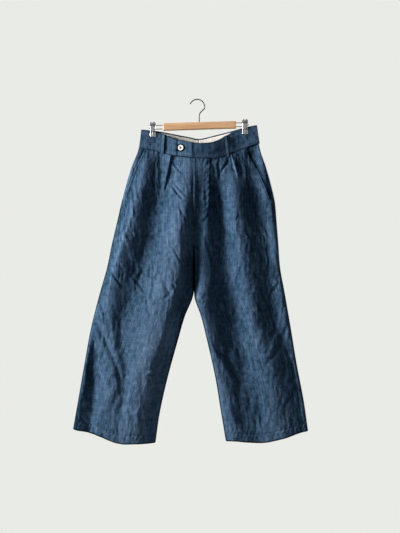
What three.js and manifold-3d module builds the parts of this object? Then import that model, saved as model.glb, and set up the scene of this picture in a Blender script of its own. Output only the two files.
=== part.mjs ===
// Wide-leg pleated trousers hung by the waistband from a wooden bar hanger with two steel clips.
// Millimetres, +Z up. The front faces -Y, the wearer's right is at -X and the wearer's left at +X.
// Origin: the underside of the hook's crown, where it rests on its nail.

import * as THREE from 'three';
import { mergeVertices } from 'three/addons/utils/BufferGeometryUtils.js';
import Module from 'manifold-3d';

const { clamp, lerp, smoothstep, degToRad } = THREE.MathUtils;

// ---------- driving dimensions ----------

const GAP = 0.3; // between pieces that are sewn or pressed together
const WAIST_GAP = 0.5; // at the waist seam, whose two edges are faceted differently
const CLOTH = 1.5; // wall of a leg panel
const BAND = 2; // waistband cloth with its stiffener
const THIN = 1; // inner facing, pocket facing and fly facing
const LOOP = 1.2; // belt loop strip

const FRONT = -1; // the side of the sheet that a face lies on, along Y
const BACK = 1;
const RIGHT = -1; // the wearer's sides, along X
const LEFT = 1;

const CENTRE_X = -10.5; // centre front seam
const CENTRE_BACK_X = 6; // centre back seam of the waistband
const FLY_END = -400; // the front stays bowed out down to here
const CROTCH = -576; // the four panels meet here
const SETTLE = 120; // below the waist seam, the length in which a panel leaves the band's shape

const PANEL_ROWS = 20;
const FRONT_COLUMNS = 19;
const BACK_COLUMNS = 16;

// Side of the garment, the outer edge of each leg.
const OUTSEAM = [
  { z: -80, right: -178, left: 190 },
  { z: -157, right: -188, left: 201 },
  { z: -212, right: -209, left: 219 },
  { z: -269, right: -226, left: 235 },
  { z: -327, right: -241, left: 248 },
  { z: -384, right: -254, left: 253 },
  { z: -461, right: -272, left: 259 },
  { z: -538, right: -288, left: 265 },
  { z: -615, right: -310, left: 279 },
  { z: -730, right: -339, left: 299 },
  { z: -845, right: -360, left: 318 },
  { z: -960, right: -380, left: 340 },
  { z: -1056, right: -397, left: 354 },
];

// Inner edge of each leg, from the crotch down. The legs touch as far as the visible fork.
const INSEAM = [
  { z: -576, right: -10.9, left: -10.1 },
  { z: -625, right: -13, left: -8 },
  { z: -653, right: -23, left: -3.8 },
  { z: -692, right: -39, left: 12 },
  { z: -768, right: -61, left: 31 },
  { z: -884, right: -93, left: 57 },
  { z: -999, right: -119, left: 76 },
  { z: -1095, right: -133, left: 92 },
];

// Edges of the waistband across the garment, at its top and at the waist seam.
const WAIST = [
  { x: -190, frontTop: -94, backTop: -94, frontSeam: -156, backSeam: -156 },
  { x: -150, frontTop: -98, backTop: -97, frontSeam: -161, backSeam: -157 },
  { x: -125, frontTop: -104, backTop: -100, frontSeam: -167, backSeam: -159 },
  { x: -74, frontTop: -125, backTop: -109, frontSeam: -179, backSeam: -164 },
  { x: -23, frontTop: -136, backTop: -118, frontSeam: -183, backSeam: -171 },
  { x: 6, frontTop: -138, backTop: -123, frontSeam: -185, backSeam: -174 },
  { x: 54, frontTop: -132, backTop: -113, frontSeam: -187, backSeam: -167 },
  { x: 105, frontTop: -108, backTop: -101, frontSeam: -178, backSeam: -158 },
  { x: 131, frontTop: -96, backTop: -94, frontSeam: -166, backSeam: -153 },
  { x: 169, frontTop: -85, backTop: -84, frontSeam: -150, backSeam: -146 },
  { x: 202, frontTop: -78, backTop: -78, frontSeam: -139, backSeam: -139 },
];

// Height of the hem, by the share of the leg's width from its outseam to its inseam.
const HEM = [
  { share: 0, right: -1050, left: -1056 },
  { share: 0.12, right: -1056, left: -1063 },
  { share: 0.3, right: -1069, left: -1078 },
  { share: 0.55, right: -1093, left: -1093 },
  { share: 0.75, right: -1095, left: -1091 },
  { share: 0.9, right: -1095, left: -1087 },
  { share: 1, right: -1095, left: -1088 },
];

// How far the front and the back stand off the seam line, at their fullest.
const DEPTH = [
  { z: -150, front: 18, back: 10 },
  { z: -260, front: 30, back: 14 },
  { z: -400, front: 38, back: 17 },
  { z: -576, front: 35, back: 18 },
  { z: -750, front: 32, back: 18 },
  { z: -950, front: 29, back: 17 },
  { z: -1095, front: 26, back: 16 },
];

// Broad folds. Each runs through three places, and rises out of the cloth or sinks into it.
const FOLDS = [
  { side: RIGHT, face: FRONT, top: [-152, -185], mid: [-209, -416], end: [-273, -720], width: 26, rise: 8 },
  { side: RIGHT, face: FRONT, top: [-124, -185], mid: [-139, -416], end: [-209, -740], width: 22, rise: -9 },
  { side: RIGHT, face: FRONT, top: [-66, -230], mid: [-68, -530], end: [-170, -930], width: 32, rise: 9 },
  { side: LEFT, face: FRONT, top: [20, -330], mid: [38, -577], end: [54, -740], width: 18, rise: 6 },
  { side: LEFT, face: FRONT, top: [76, -230], mid: [92, -512], end: [169, -900], width: 24, rise: -9 },
  { side: LEFT, face: FRONT, top: [124, -205], mid: [160, -512], end: [240, -900], width: 26, rise: 9 },
  { side: LEFT, face: FRONT, top: [182, -230], mid: [223, -512], end: [271, -770], width: 20, rise: -7 },
  { side: RIGHT, face: BACK, top: [-110, -200], mid: [-150, -560], end: [-250, -1000], width: 34, rise: 6 },
  { side: LEFT, face: BACK, top: [110, -200], mid: [130, -560], end: [210, -1000], width: 34, rise: 6 },
];

// Pleats. The cloth on the outseam side of each line is folded over the cloth beside it.
const PLEATS = [
  { side: RIGHT, top: [-84, -180], end: [-108, -295], lap: 24, rise: 4 },
  { side: RIGHT, top: [-128, -166], end: [-123, -315], lap: 24, rise: 3 },
  { side: LEFT, top: [107, -176], end: [134, -255], lap: 24, rise: 3 },
  { side: LEFT, top: [150, -158], end: [158, -270], lap: 20, rise: 3 },
];

// Slant pocket mouths: how far in from the outseam they start at the waist and end below.
const POCKET_END = -315;
const POCKETS = {
  [RIGHT]: { name: 'pocket_right', start: 19, end: 7 },
  [LEFT]: { name: 'pocket_left', start: 40, end: 15 },
};
const POCKET_TACK = 7; // below the mouth, where the front panel reaches the outseam again

// Waistband, clamped flat outside the two clips and bowed between them.
const BAND_FRONT_Y = -2;
const BAND_BACK_Y = 1.6;
const FACING_Y = -0.2;
const BAND_BOW = { [FRONT]: 18, [BACK]: 9 };
const BOW_FROM = -130;
const BOW_TO = 141;
const TAB_END = -63; // the buttoned tab laps over the other half as far as this
const TAB_START = -18;
const UNDERLAP_END = -21;
const FACING_INSET = 6; // the facing stops short of the fold at the side
const FACING_DROP = 1.5; // and of the band's own edges

const LOOPS = [
  { name: 'loop_front_right', face: FRONT, top: -101, foot: -113 },
  { name: 'loop_front_left', face: FRONT, top: 92, foot: 99 },
  { name: 'loop_back_right', face: BACK, top: -104, foot: -108 },
  { name: 'loop_back_centre', face: BACK, top: CENTRE_BACK_X, foot: CENTRE_BACK_X },
  { name: 'loop_back_left', face: BACK, top: 112, foot: 116 },
];
const LOOP_WIDTH = 10;
const LOOP_ARCH = 2.2;

const FLY_WIDTH = 38;
const FLY_ROW = 0.232; // share of the way from waist to hem at which the fly's facing ends
const FLY_GAP = 0.5;

const BUTTON_GAP = 0.6; // it is flat, and the tab behind it is curved
const BUTTON = { x: -51.8, z: -155.5, radius: 8.75, thickness: 3.4, hole: 0.9, spacing: 1.7 };

// Hanger.
const BAR = { x: 7.7, z: -83.2, length: 234, height: 24, thickness: 12, edge: 4 };
const BAR_TILT = degToRad(1.74);
const ARM_WIRE = 1.1; // radius
const ARM_SPREAD = 6; // half the distance between the two runs of an arm
const ARM_SOCKET = 14; // how far a run goes into the bar
const HOOK_WIRE = 1.75; // radius
const HOOK_RADIUS = 24;
const STEM_X = 6.7;
const STEM_BEND_Z = -44.5;
const CLIP_WIDTH = 18.5;
const CLIP_PLATE = 1;
const CLIPS = [
  { name: 'right', x: -149.7, arm: -1 },
  { name: 'left', x: 145.3, arm: 1 },
];
const ARM_PAST_CLIP = 10.6;
const SPRING = { outer: 3.9, inner: 2.6, length: 12 };

// ---------- colours ----------

const finish = (color, roughness, metalness = 0) => () =>
  new THREE.MeshStandardMaterial({ color, roughness, metalness });
const NAVY = finish(0x35506b, 0.9);
const CREAM = finish(0xe1d4c8, 0.9);
const WOOD = finish(0xd1a57f, 0.55);
const STEEL = finish(0xc6c4c8, 0.25, 1);
const WHITE = finish(0xf0ece4, 0.35);

// ---------- curves through tables ----------

/** Value of a table's column at a place along its key, on a smooth curve through the rows. */
function along(table, key, column, at) {
  const last = table.length - 1;
  const way = Math.sign(table[last][key] - table[0][key]);
  const position = clamp(way * at, way * table[0][key], way * table[last][key]);
  let i = 0;
  while (i < last - 1 && way * table[i + 1][key] < position) i += 1;
  const slope = (a, b) => (table[b][column] - table[a][column]) / (way * (table[b][key] - table[a][key]));
  const width = way * (table[i + 1][key] - table[i][key]);
  const t = (position - way * table[i][key]) / width;
  const from = slope(Math.max(i - 1, 0), i + 1) * width;
  const to = slope(i, Math.min(i + 2, last)) * width;
  const ends = lerp(table[i][column], table[i + 1][column], t * t * (3 - 2 * t));
  return ends + t * (1 - t) * ((1 - t) * from - t * to);
}

const sideName = (side) => (side === RIGHT ? 'right' : 'left');
const outseamX = (side, z) => along(OUTSEAM, 'z', sideName(side), z);
const frontSeam = (x) => along(WAIST, 'x', 'frontSeam', x);
const backSeam = (x) => along(WAIST, 'x', 'backSeam', x);
const seamAt = (face, x) => (face === FRONT ? frontSeam(x) : backSeam(x));

/** 0 where the panels run across the body, 1 where each leg is a tube of its own. */
const tubeShare = (z) => smoothstep(-z, -FLY_END, -CROTCH);

/** Middle of the wall at the inner end of a row: the centre seam, then the inseam. */
function innerX(side, z) {
  const turned = Math.sin((tubeShare(z) * Math.PI) / 2);
  if (z > CROTCH) return CENTRE_X + side * (GAP / 2 + (turned * CLOTH) / 2);
  return along(INSEAM, 'z', sideName(side), z) + (side * CLOTH) / 2;
}

/** How far the waistband bows away from the line between the clips. */
function bandBow(face, x) {
  const share = clamp((x - BOW_FROM) / (BOW_TO - BOW_FROM), 0, 1);
  return BAND_BOW[face] * Math.sin(Math.PI * share) ** 2;
}

const bandY = (face, x) => (face === FRONT ? BAND_FRONT_Y : BAND_BACK_Y) + face * bandBow(face, x);

/** Height of the folds and pleats over the plain panel at a place on it. */
function relief(side, face, x, z) {
  let height = 0;
  for (const fold of FOLDS.filter((f) => f.side === side && f.face === face)) {
    const down = clamp((fold.top[1] - z) / (fold.top[1] - fold.end[1]), 0, 1);
    const bend = (fold.top[1] - fold.mid[1]) / (fold.top[1] - fold.end[1]);
    const sway = fold.mid[0] - lerp(fold.top[0], fold.end[0], bend);
    const crest = lerp(fold.top[0], fold.end[0], down) + sway * Math.sin(Math.PI * down);
    const fade = Math.sin(Math.PI * down) ** 0.7;
    height += fold.rise * fade * Math.exp(-(((x - crest) / fold.width) ** 2));
  }
  if (face === BACK) return height;
  for (const pleat of PLEATS.filter((p) => p.side === side)) {
    const down = clamp((pleat.top[1] - z) / (pleat.top[1] - pleat.end[1]), 0, 1);
    const outward = side * (x - lerp(pleat.top[0], pleat.end[0], down));
    const profile = outward > 0 ? Math.exp(-outward / pleat.lap) : Math.exp(-((outward / 5) ** 2));
    height += pleat.rise * (1 - smoothstep(down, 0.4, 1)) * profile;
  }
  return height;
}

// ---------- leg panels ----------

/** Middle of a panel's wall, by t from the outseam to the inner seam and v from waist to hem. */
function panelPoint(side, face, t, v) {
  const seamSide = seamAt(face, outseamX(side, WAIST[side === RIGHT ? 0 : WAIST.length - 1].frontSeam));
  const outerZ = lerp(seamSide, along(HEM, 'share', sideName(side), 0), v);
  const innerZ = lerp(seamAt(face, CENTRE_X), along(HEM, 'share', sideName(side), 1), v);
  const tube = tubeShare(innerZ);
  const share = lerp(1 - Math.cos((Math.PI * t) / 2), (1 - Math.cos(Math.PI * t)) / 2, tube);
  const bulge = lerp(Math.sin((Math.PI * t) / 2), Math.sin(Math.PI * t), tube);
  const outer = outseamX(side, outerZ) - (side * CLOTH) / 2;
  const x = lerp(outer, innerX(side, innerZ), share);
  const topOuter = outseamX(side, seamSide) - (side * CLOTH) / 2;
  const topX = lerp(topOuter, innerX(side, seamAt(face, CENTRE_X)), share);
  const z = lerp(seamAt(face, topX), along(HEM, 'share', sideName(side), share), v);
  const settled = smoothstep(seamAt(face, topX) - z, 0, SETTLE);
  const edge = Math.sin((Math.PI / 2) * clamp(t / 0.14, 0, 1));
  const pressed = face * bandY(face, x) * edge;
  const full = along(DEPTH, 'z', face === FRONT ? 'front' : 'back', z) * bulge ** 0.85;
  const folded = relief(side, face, x, z) * Math.min(edge, lerp(1, Math.sin(Math.PI * t) ** 0.5, tube));
  const y = face * (GAP / 2 + lerp(pressed, full, settled) + folded);
  return { x, y, z, tube };
}

/** Share t at which a place lies a given distance in from the outseam, above the fly's end. */
function insetShare(side, z, inset) {
  const width = Math.abs(outseamX(side, z) - CENTRE_X);
  return (Math.acos(clamp(1 - inset / width, -1, 1)) * 2) / Math.PI;
}

/** Distance of the pocket mouth from the outseam at a height. */
function mouthInset(side, z) {
  const pocket = POCKETS[side];
  const top = frontSeam(outseamX(side, -160));
  const down = clamp((top - z) / (top - POCKET_END), 0, 1);
  return lerp(pocket.start, pocket.end, down);
}

/** Row heights: even steps, with the pocket's end, its tack and the fly's foot put in on a front panel. */
function rowList(side, face) {
  const rows = Array.from({ length: PANEL_ROWS + 1 }, (_, i) => i / PANEL_ROWS);
  if (face === BACK) return rows;
  const top = frontSeam(outseamX(side, -160));
  const hem = along(HEM, 'share', sideName(side), 0);
  const extra = [POCKET_END, POCKET_END - POCKET_TACK].map((z) => (top - z) / (top - hem));
  if (side === LEFT) extra.push(FLY_ROW);
  return [...rows, ...extra].sort((a, b) => a - b);
}

/** Unit normal in the horizontal plane, out of the garment, at each place of a row. */
function rowNormals(row, side, face, ends = {}) {
  return row.map((point, i) => {
    const before = row[Math.max(i - 1, 0)];
    const after = row[Math.min(i + 1, row.length - 1)];
    const turn = side * face;
    const normal = new THREE.Vector2(turn * (after.y - before.y), -turn * (after.x - before.x)).normalize();
    if (i === 0 && ends.first) normal.copy(ends.first);
    if (i === row.length - 1 && ends.last) normal.copy(ends.last);
    return normal;
  });
}

/** Closed wall of a thickness on both sides of a grid of rows, with its normals. */
function wallGeometry(rows, normals, thickness) {
  const columns = rows[0].length;
  const positions = [];
  for (const way of [1, -1]) {
    rows.forEach((row, j) => row.forEach((p, i) => {
      const n = normals[j][i];
      const out = (way * thickness) / 2;
      positions.push(p.x + n.x * out, p.y + n.y * out, p.z);
    }));
  }
  const skin = rows.length * columns;
  const at = (layer, j, i) => layer * skin + j * columns + i;
  const index = [];
  const quad = (a, b, c, d) => index.push(a, b, c, a, c, d);
  for (let j = 0; j < rows.length - 1; j += 1) {
    for (let i = 0; i < columns - 1; i += 1) {
      quad(at(0, j, i), at(0, j + 1, i), at(0, j + 1, i + 1), at(0, j, i + 1));
      quad(at(1, j, i), at(1, j, i + 1), at(1, j + 1, i + 1), at(1, j + 1, i));
    }
    quad(at(0, j, 0), at(1, j, 0), at(1, j + 1, 0), at(0, j + 1, 0));
    quad(at(0, j, columns - 1), at(0, j + 1, columns - 1), at(1, j + 1, columns - 1), at(1, j, columns - 1));
  }
  const foot = rows.length - 1;
  for (let i = 0; i < columns - 1; i += 1) {
    quad(at(0, 0, i), at(0, 0, i + 1), at(1, 0, i + 1), at(1, 0, i));
    quad(at(0, foot, i), at(1, foot, i), at(1, foot, i + 1), at(0, foot, i + 1));
  }
  const geometry = new THREE.BufferGeometry();
  geometry.setAttribute('position', new THREE.Float32BufferAttribute(positions, 3));
  geometry.setIndex(index);
  return facingOut(geometry);
}

/** Turns a closed geometry's triangles round if they face inwards. */
function facingOut(geometry) {
  const position = geometry.getAttribute('position');
  const corners = [0, 1, 2].map(() => new THREE.Vector3());
  let volume = 0;
  for (let i = 0; i < geometry.index.count; i += 3) {
    corners.forEach((corner, k) => corner.fromBufferAttribute(position, geometry.index.getX(i + k)));
    volume += corners[0].dot(corners[1].clone().cross(corners[2])) / 6;
  }
  if (volume < 0) geometry.setIndex([...geometry.index.array].reverse());
  return geometry;
}

/** The rows of a panel: places on the middle of its wall, and the normals there. */
function panelRows(side, face) {
  const columns = face === FRONT ? FRONT_COLUMNS : BACK_COLUMNS;
  return rowList(side, face).map((v) => {
    const height = panelPoint(side, face, 0, v).z;
    const atPocket = face === FRONT && height > POCKET_END - POCKET_TACK / 2;
    const start = atPocket ? insetShare(side, height, mouthInset(side, height)) : 0;
    const points = [];
    for (let i = 0; i <= columns; i += 1) points.push(panelPoint(side, face, lerp(start, 1, i / columns), v));
    const turn = (points[columns].tube * Math.PI) / 2;
    const ends = { last: new THREE.Vector2(-side * Math.sin(turn), face * Math.cos(turn)) };
    if (!atPocket) ends.first = new THREE.Vector2(side, 0);
    return { v, atPocket, start, points, normals: rowNormals(points, side, face, ends) };
  });
}

function panel(side, face) {
  const rows = panelRows(side, face);
  return wallGeometry(rows.map((row) => row.points), rows.map((row) => row.normals), CLOTH);
}

/** The hip piece behind a pocket mouth: at the panel's own surface by the outseam, then tucked in. */
function pocketFacing(side) {
  const tuck = CLOTH / 2 + GAP + THIN / 2;
  const visible = 6;
  const hidden = 2;
  const rows = [];
  const normals = [];
  for (const { v, atPocket, start, points } of panelRows(side, FRONT)) {
    if (!atPocket) break;
    const row = [];
    for (let i = 0; i < visible; i += 1) row.push(panelPoint(side, FRONT, (start * i) / visible, v));
    row.push(...points.slice(0, hidden + 1));
    const out = rowNormals(row, side, FRONT, { first: new THREE.Vector2(side, 0) });
    const mouth = Math.abs(points[0].x - row[0].x);
    rows.push(row.map((p, i) => {
      const depth = tuck * smoothstep(Math.abs(p.x - row[0].x), 0, mouth * 0.6);
      return { x: p.x - out[i].x * depth, y: p.y - out[i].y * depth, z: p.z };
    }));
    normals.push(out);
  }
  return wallGeometry(rows, normals, THIN);
}

/** Place on a row's straight pieces at an x. */
function onRow(row, x) {
  let i = 0;
  while (i < row.length - 2 && (row[i + 1].x - x) * (row[0].x - x) > 0) i += 1;
  const share = (x - row[i].x) / (row[i + 1].x - row[i].x);
  return { x, y: lerp(row[i].y, row[i + 1].y, share), z: lerp(row[i].z, row[i + 1].z, share) };
}

/** The fly facing, a round-ended strip behind the left front panel along the centre seam. */
function flyFacing() {
  const tuck = CLOTH / 2 + FLY_GAP + THIN / 2;
  const rows = [];
  const normals = [];
  for (const { v, points } of panelRows(LEFT, FRONT)) {
    if (v > FLY_ROW) break;
    const width = FLY_WIDTH * Math.sqrt(1 - 0.93 * (v / FLY_ROW) ** 5);
    const seam = points[points.length - 1].x;
    const row = [];
    for (let i = 0; i <= 4; i += 1) row.push(onRow(points, lerp(seam + width, seam, i / 4)));
    const out = rowNormals(row, LEFT, FRONT, { last: new THREE.Vector2(0, FRONT) });
    rows.push(row.map((p, i) => ({ x: p.x - out[i].x * tuck, y: p.y - out[i].y * tuck, z: p.z })));
    normals.push(out);
  }
  return wallGeometry(rows, normals, THIN);
}

// ---------- waistband ----------

/** Middle of the waistband's wall on one face, k 0 at its top edge and 1 at the waist seam. */
function bandPoint(face, x, k, lap = 0) {
  const top = along(WAIST, 'x', face === FRONT ? 'frontTop' : 'backTop', x);
  return { x, y: bandY(face, x) + face * lap, z: lerp(top, seamAt(face, x) + WAIST_GAP, k) };
}

/** The left half's extra stand-off where its tab crosses the right half. */
const tabLap = (x) => (BAND + GAP) * smoothstep(-x, -TAB_START - 12, -TAB_START);

/** One half of the waistband, from its front end round the folded side to the centre back. */
function waistband(side) {
  const start = side === RIGHT ? UNDERLAP_END : TAB_END;
  const frontSteps = side === RIGHT ? 12 : 18;
  const turnRadius = (BAND_BACK_Y - BAND_FRONT_Y) / 2;
  const rows = [];
  const normals = [];
  for (let j = 0; j <= 3; j += 1) {
    const k = j / 3;
    const apex = outseamX(side, lerp(-90, -157, k)) - (side * BAND) / 2;
    const turnX = apex - side * turnRadius;
    const row = [];
    for (let i = 0; i < frontSteps; i += 1) {
      const x = lerp(start, turnX, i / frontSteps);
      row.push(bandPoint(FRONT, x, k, side === LEFT ? tabLap(x) : 0));
    }
    const [foldFrom, foldTo] = [FRONT, BACK].map((face) => bandPoint(face, turnX, k).z);
    for (let i = 0; i <= 6; i += 1) {
      const angle = lerp(-Math.PI / 2, Math.PI / 2, i / 6);
      const x = turnX + side * turnRadius * Math.cos(angle);
      row.push({ x, y: FACING_Y + turnRadius * Math.sin(angle), z: lerp(foldFrom, foldTo, i / 6) });
    }
    for (let i = 1; i <= 14; i += 1) {
      row.push(bandPoint(BACK, lerp(turnX, CENTRE_BACK_X + (side * GAP) / 2, i / 14), k));
    }
    rows.push(row);
    normals.push(rowNormals(row, side, BACK, {
      first: new THREE.Vector2(0, FRONT), last: new THREE.Vector2(0, BACK),
    }));
  }
  return wallGeometry(rows, normals, BAND);
}

/** The pale facing inside the back of the waistband. */
function bandFacing(side) {
  const rows = [];
  const normals = [];
  for (let j = 0; j <= 2; j += 1) {
    const k = j / 2;
    const side0 = outseamX(side, lerp(-90, -157, k)) - side * FACING_INSET;
    const row = [];
    for (let i = 0; i <= 10; i += 1) {
      const x = lerp(side0, CENTRE_BACK_X + (side * GAP) / 2, i / 10);
      const point = bandPoint(BACK, x, k);
      const inset = FACING_DROP * (1 - 2 * k);
      row.push({ x, y: FACING_Y + bandBow(BACK, x), z: point.z - inset });
    }
    rows.push(row);
    normals.push(rowNormals(row, side, BACK, { last: new THREE.Vector2(0, BACK) }));
  }
  return wallGeometry(rows, normals, THIN);
}

/** A belt loop: a strip that arches over the waistband, with both ends against it. */
function beltLoop({ face, top, foot }) {
  const steps = 8;
  const rows = [];
  const normals = [];
  for (let j = 0; j <= steps; j += 1) {
    const k = lerp(0.03, 0.98, j / steps);
    const middle = lerp(top, foot, k);
    const lift = BAND / 2 + GAP + LOOP / 2 + LOOP_ARCH * Math.sin((Math.PI * j) / steps) ** 0.5;
    const stand = bandY(face, middle) + face * lift;
    const slope = (bandY(face, middle + 1) - bandY(face, middle - 1)) / 2;
    const row = [-LOOP_WIDTH / 2, LOOP_WIDTH / 2].map((across) => ({
      x: middle + across, y: stand + slope * across, z: bandPoint(face, middle, k).z,
    }));
    rows.push(row);
    normals.push(row.map(() => new THREE.Vector2(0, face)));
  }
  return wallGeometry(rows, normals, LOOP);
}

// ---------- solids that are cut ----------

const wasm = await Module();
wasm.setup();

/** A closed geometry as a solid that can be cut. */
function toSolid(geometry) {
  const bare = geometry.clone();
  bare.deleteAttribute('normal');
  bare.deleteAttribute('uv');
  const merged = mergeVertices(bare, 1e-4);
  const mesh = new wasm.Mesh({
    numProp: 3,
    vertProperties: new Float32Array(merged.getAttribute('position').array),
    triVerts: new Uint32Array(merged.index.array),
  });
  return new wasm.Manifold(mesh);
}

function toGeometry(solid) {
  const mesh = solid.getMesh();
  const geometry = new THREE.BufferGeometry();
  geometry.setAttribute('position', new THREE.BufferAttribute(new Float32Array(mesh.vertProperties), 3));
  geometry.setIndex(new THREE.BufferAttribute(new Uint32Array(mesh.triVerts), 1));
  return geometry;
}

/** The geometry with each of the cutters taken out of it. */
function cut(geometry, cutters) {
  const left = cutters.reduce((solid, cutter) => solid.subtract(toSolid(cutter)), toSolid(geometry));
  return toGeometry(left);
}

// ---------- button ----------

/** A round button with a dished middle and four holes, its axis along Y. */
function button() {
  const { radius, thickness, hole, spacing } = BUTTON;
  const half = thickness / 2;
  const profile = [
    [0, -half], [radius - 1.2, -half], [radius - 0.3, -half + 0.9], [radius, 0], [radius - 0.3, half - 0.5],
    [radius - 1.2, half], [radius - 2.6, half - 0.2], [radius - 3.8, half - 1], [0, half - 1.1],
  ].map(([r, h]) => new THREE.Vector2(r, h));
  const holes = [[-1, -1], [-1, 1], [1, -1], [1, 1]].map(([a, b]) =>
    new THREE.CylinderGeometry(hole, hole, 2 * thickness, 8).translate(a * spacing, 0, b * spacing));
  return cut(new THREE.LatheGeometry(profile, 28), holes).rotateX(Math.PI);
}

// ---------- hanger ----------

/** A round wire along a path. */
function wire(path, radius, steps, sides) {
  const section = new THREE.Shape();
  section.absarc(0, 0, radius, 0, 2 * Math.PI, false);
  return new THREE.ExtrudeGeometry(section, {
    extrudePath: path, steps, curveSegments: sides / 2, bevelEnabled: false,
  });
}

/** The wooden bar in its own frame, along X, with its upper and lower edges rounded. */
function barBlank() {
  const { length, height, thickness, edge } = BAR;
  const halfY = thickness / 2;
  const halfZ = height / 2;
  const section = new THREE.Shape();
  for (const [y, z, from] of [[1, 1, 0], [-1, 1, 1], [-1, -1, 2], [1, -1, 3]]) {
    const start = (from * Math.PI) / 2;
    section.absarc(y * (halfY - edge), z * (halfZ - edge), edge, start, start + Math.PI / 2, false);
  }
  const bar = new THREE.ExtrudeGeometry(section, {
    depth: length - 2, steps: 1, curveSegments: 4, bevelEnabled: true, bevelSize: 1, bevelThickness: 1,
    bevelSegments: 1, bevelOffset: -1,
  });
  bar.translate(0, 0, 1 - length / 2);
  bar.applyMatrix4(new THREE.Matrix4().makeBasis(
    new THREE.Vector3(0, 1, 0), new THREE.Vector3(0, 0, 1), new THREE.Vector3(1, 0, 0),
  ));
  return bar;
}

/** An arm's wire: out of the bar's end, round beyond the clip and back into the bar. */
function armPath({ x, arm }) {
  const inside = arm * (BAR.length / 2 - ARM_SOCKET);
  const turn = x + arm * (ARM_PAST_CLIP - ARM_SPREAD);
  const path = new THREE.CurvePath();
  const at = (px, pz) => new THREE.Vector3(px, 0, pz);
  path.add(new THREE.LineCurve3(at(inside, ARM_SPREAD), at(turn, ARM_SPREAD)));
  const reach = turn + (arm * ARM_SPREAD * 4) / 3;
  path.add(new THREE.CubicBezierCurve3(
    at(turn, ARM_SPREAD), at(reach, ARM_SPREAD), at(reach, -ARM_SPREAD), at(turn, -ARM_SPREAD),
  ));
  path.add(new THREE.LineCurve3(at(turn, -ARM_SPREAD), at(inside, -ARM_SPREAD)));
  return path;
}

/** The hook: stem up from the bar, a kink to one side, then round over the crown to its tip. */
function hookPath() {
  const centreZ = HOOK_WIRE - HOOK_RADIUS;
  const onArc = (degrees) => new THREE.Vector3(
    HOOK_RADIUS * Math.cos(degToRad(degrees)), 0, centreZ + HOOK_RADIUS * Math.sin(degToRad(degrees)),
  );
  const points = [
    new THREE.Vector3(STEM_X, 0, BAR.z - 5),
    new THREE.Vector3(STEM_X, 0, BAR.z + 12),
    new THREE.Vector3(STEM_X, 0, STEM_BEND_Z - 8),
    new THREE.Vector3(STEM_X + 0.6, 0, STEM_BEND_Z - 2),
    new THREE.Vector3(STEM_X + 3.4, 0, STEM_BEND_Z + 3.6),
    new THREE.Vector3(STEM_X + 11, 0, STEM_BEND_Z + 11.5),
  ];
  for (let angle = -12; angle <= 160; angle += 17.2) points.push(onArc(angle));
  return new THREE.CatmullRomCurve3(points, false, 'centripetal');
}

/** One stamped plate of a clip in the bar's frame: jaw on the cloth, then out to the finger end. */
function clipPlate(face, x) {
  const jaw = face === FRONT ? BAND_FRONT_Y - BAND / 2 - GAP : BAND_BACK_Y + BAND / 2 + GAP;
  const stand = FACING_Y + face * (SPRING.outer + GAP);
  const inner = [[jaw, -30], [jaw, -17], [stand, -11], [stand, 7], [stand + face * 4.5, 15.5]];
  const outline = [...inner, ...inner.map(([y, z]) => [y + face * CLIP_PLATE, z]).reverse()];
  const shape = new THREE.Shape(outline.map(([y, z]) => new THREE.Vector2(y, z)));
  const plate = new THREE.ExtrudeGeometry(shape, { depth: CLIP_WIDTH, steps: 1, bevelEnabled: false });
  plate.translate(0, 0, -CLIP_WIDTH / 2);
  plate.applyMatrix4(new THREE.Matrix4().makeBasis(
    new THREE.Vector3(0, 1, 0), new THREE.Vector3(0, 0, 1), new THREE.Vector3(1, 0, 0),
  ));
  return plate.translate(x, 0, 0);
}

/** The coil between a clip's plates, a sleeve along X. */
function clipSpring(x) {
  const { outer, inner, length } = SPRING;
  const half = length / 2;
  const profile = [[inner, -half], [outer, -half], [outer, half], [inner, half], [inner, -half]];
  const sleeve = new THREE.LatheGeometry(profile.map(([r, h]) => new THREE.Vector2(r, h)), 14);
  return sleeve.rotateZ(Math.PI / 2).translate(x, FACING_Y, 0);
}

// ---------- the object ----------

const trousers = new THREE.Group();

function add(name, geometry, material, parent = trousers) {
  const mesh = new THREE.Mesh(geometry, material());
  mesh.name = name;
  parent.add(mesh);
  return mesh;
}

for (const side of [RIGHT, LEFT]) {
  add(`front_${sideName(side)}`, panel(side, FRONT), NAVY);
  add(`back_${sideName(side)}`, panel(side, BACK), NAVY);
  add(POCKETS[side].name, pocketFacing(side), NAVY);
  add(`waistband_${sideName(side)}`, waistband(side), NAVY);
  add(`facing_${sideName(side)}`, bandFacing(side), CREAM);
}
add('fly', flyFacing(), NAVY);
for (const loop of LOOPS) add(loop.name, beltLoop(loop), NAVY);

const tabSlope = (bandY(FRONT, BUTTON.x + 5) - bandY(FRONT, BUTTON.x - 5)) / 10;
const buttonStand = tabLap(BUTTON.x) + BAND / 2 + BUTTON_GAP + BUTTON.thickness / 2;
const buttonMesh = add('button', button(), WHITE);
buttonMesh.rotation.z = Math.atan(tabSlope);
buttonMesh.position.set(BUTTON.x, bandY(FRONT, BUTTON.x) - buttonStand, BUTTON.z);

const hanger = new THREE.Group();
hanger.position.set(BAR.x, 0, BAR.z);
hanger.rotation.y = -BAR_TILT;
hanger.updateMatrixWorld();
trousers.add(hanger);

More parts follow.
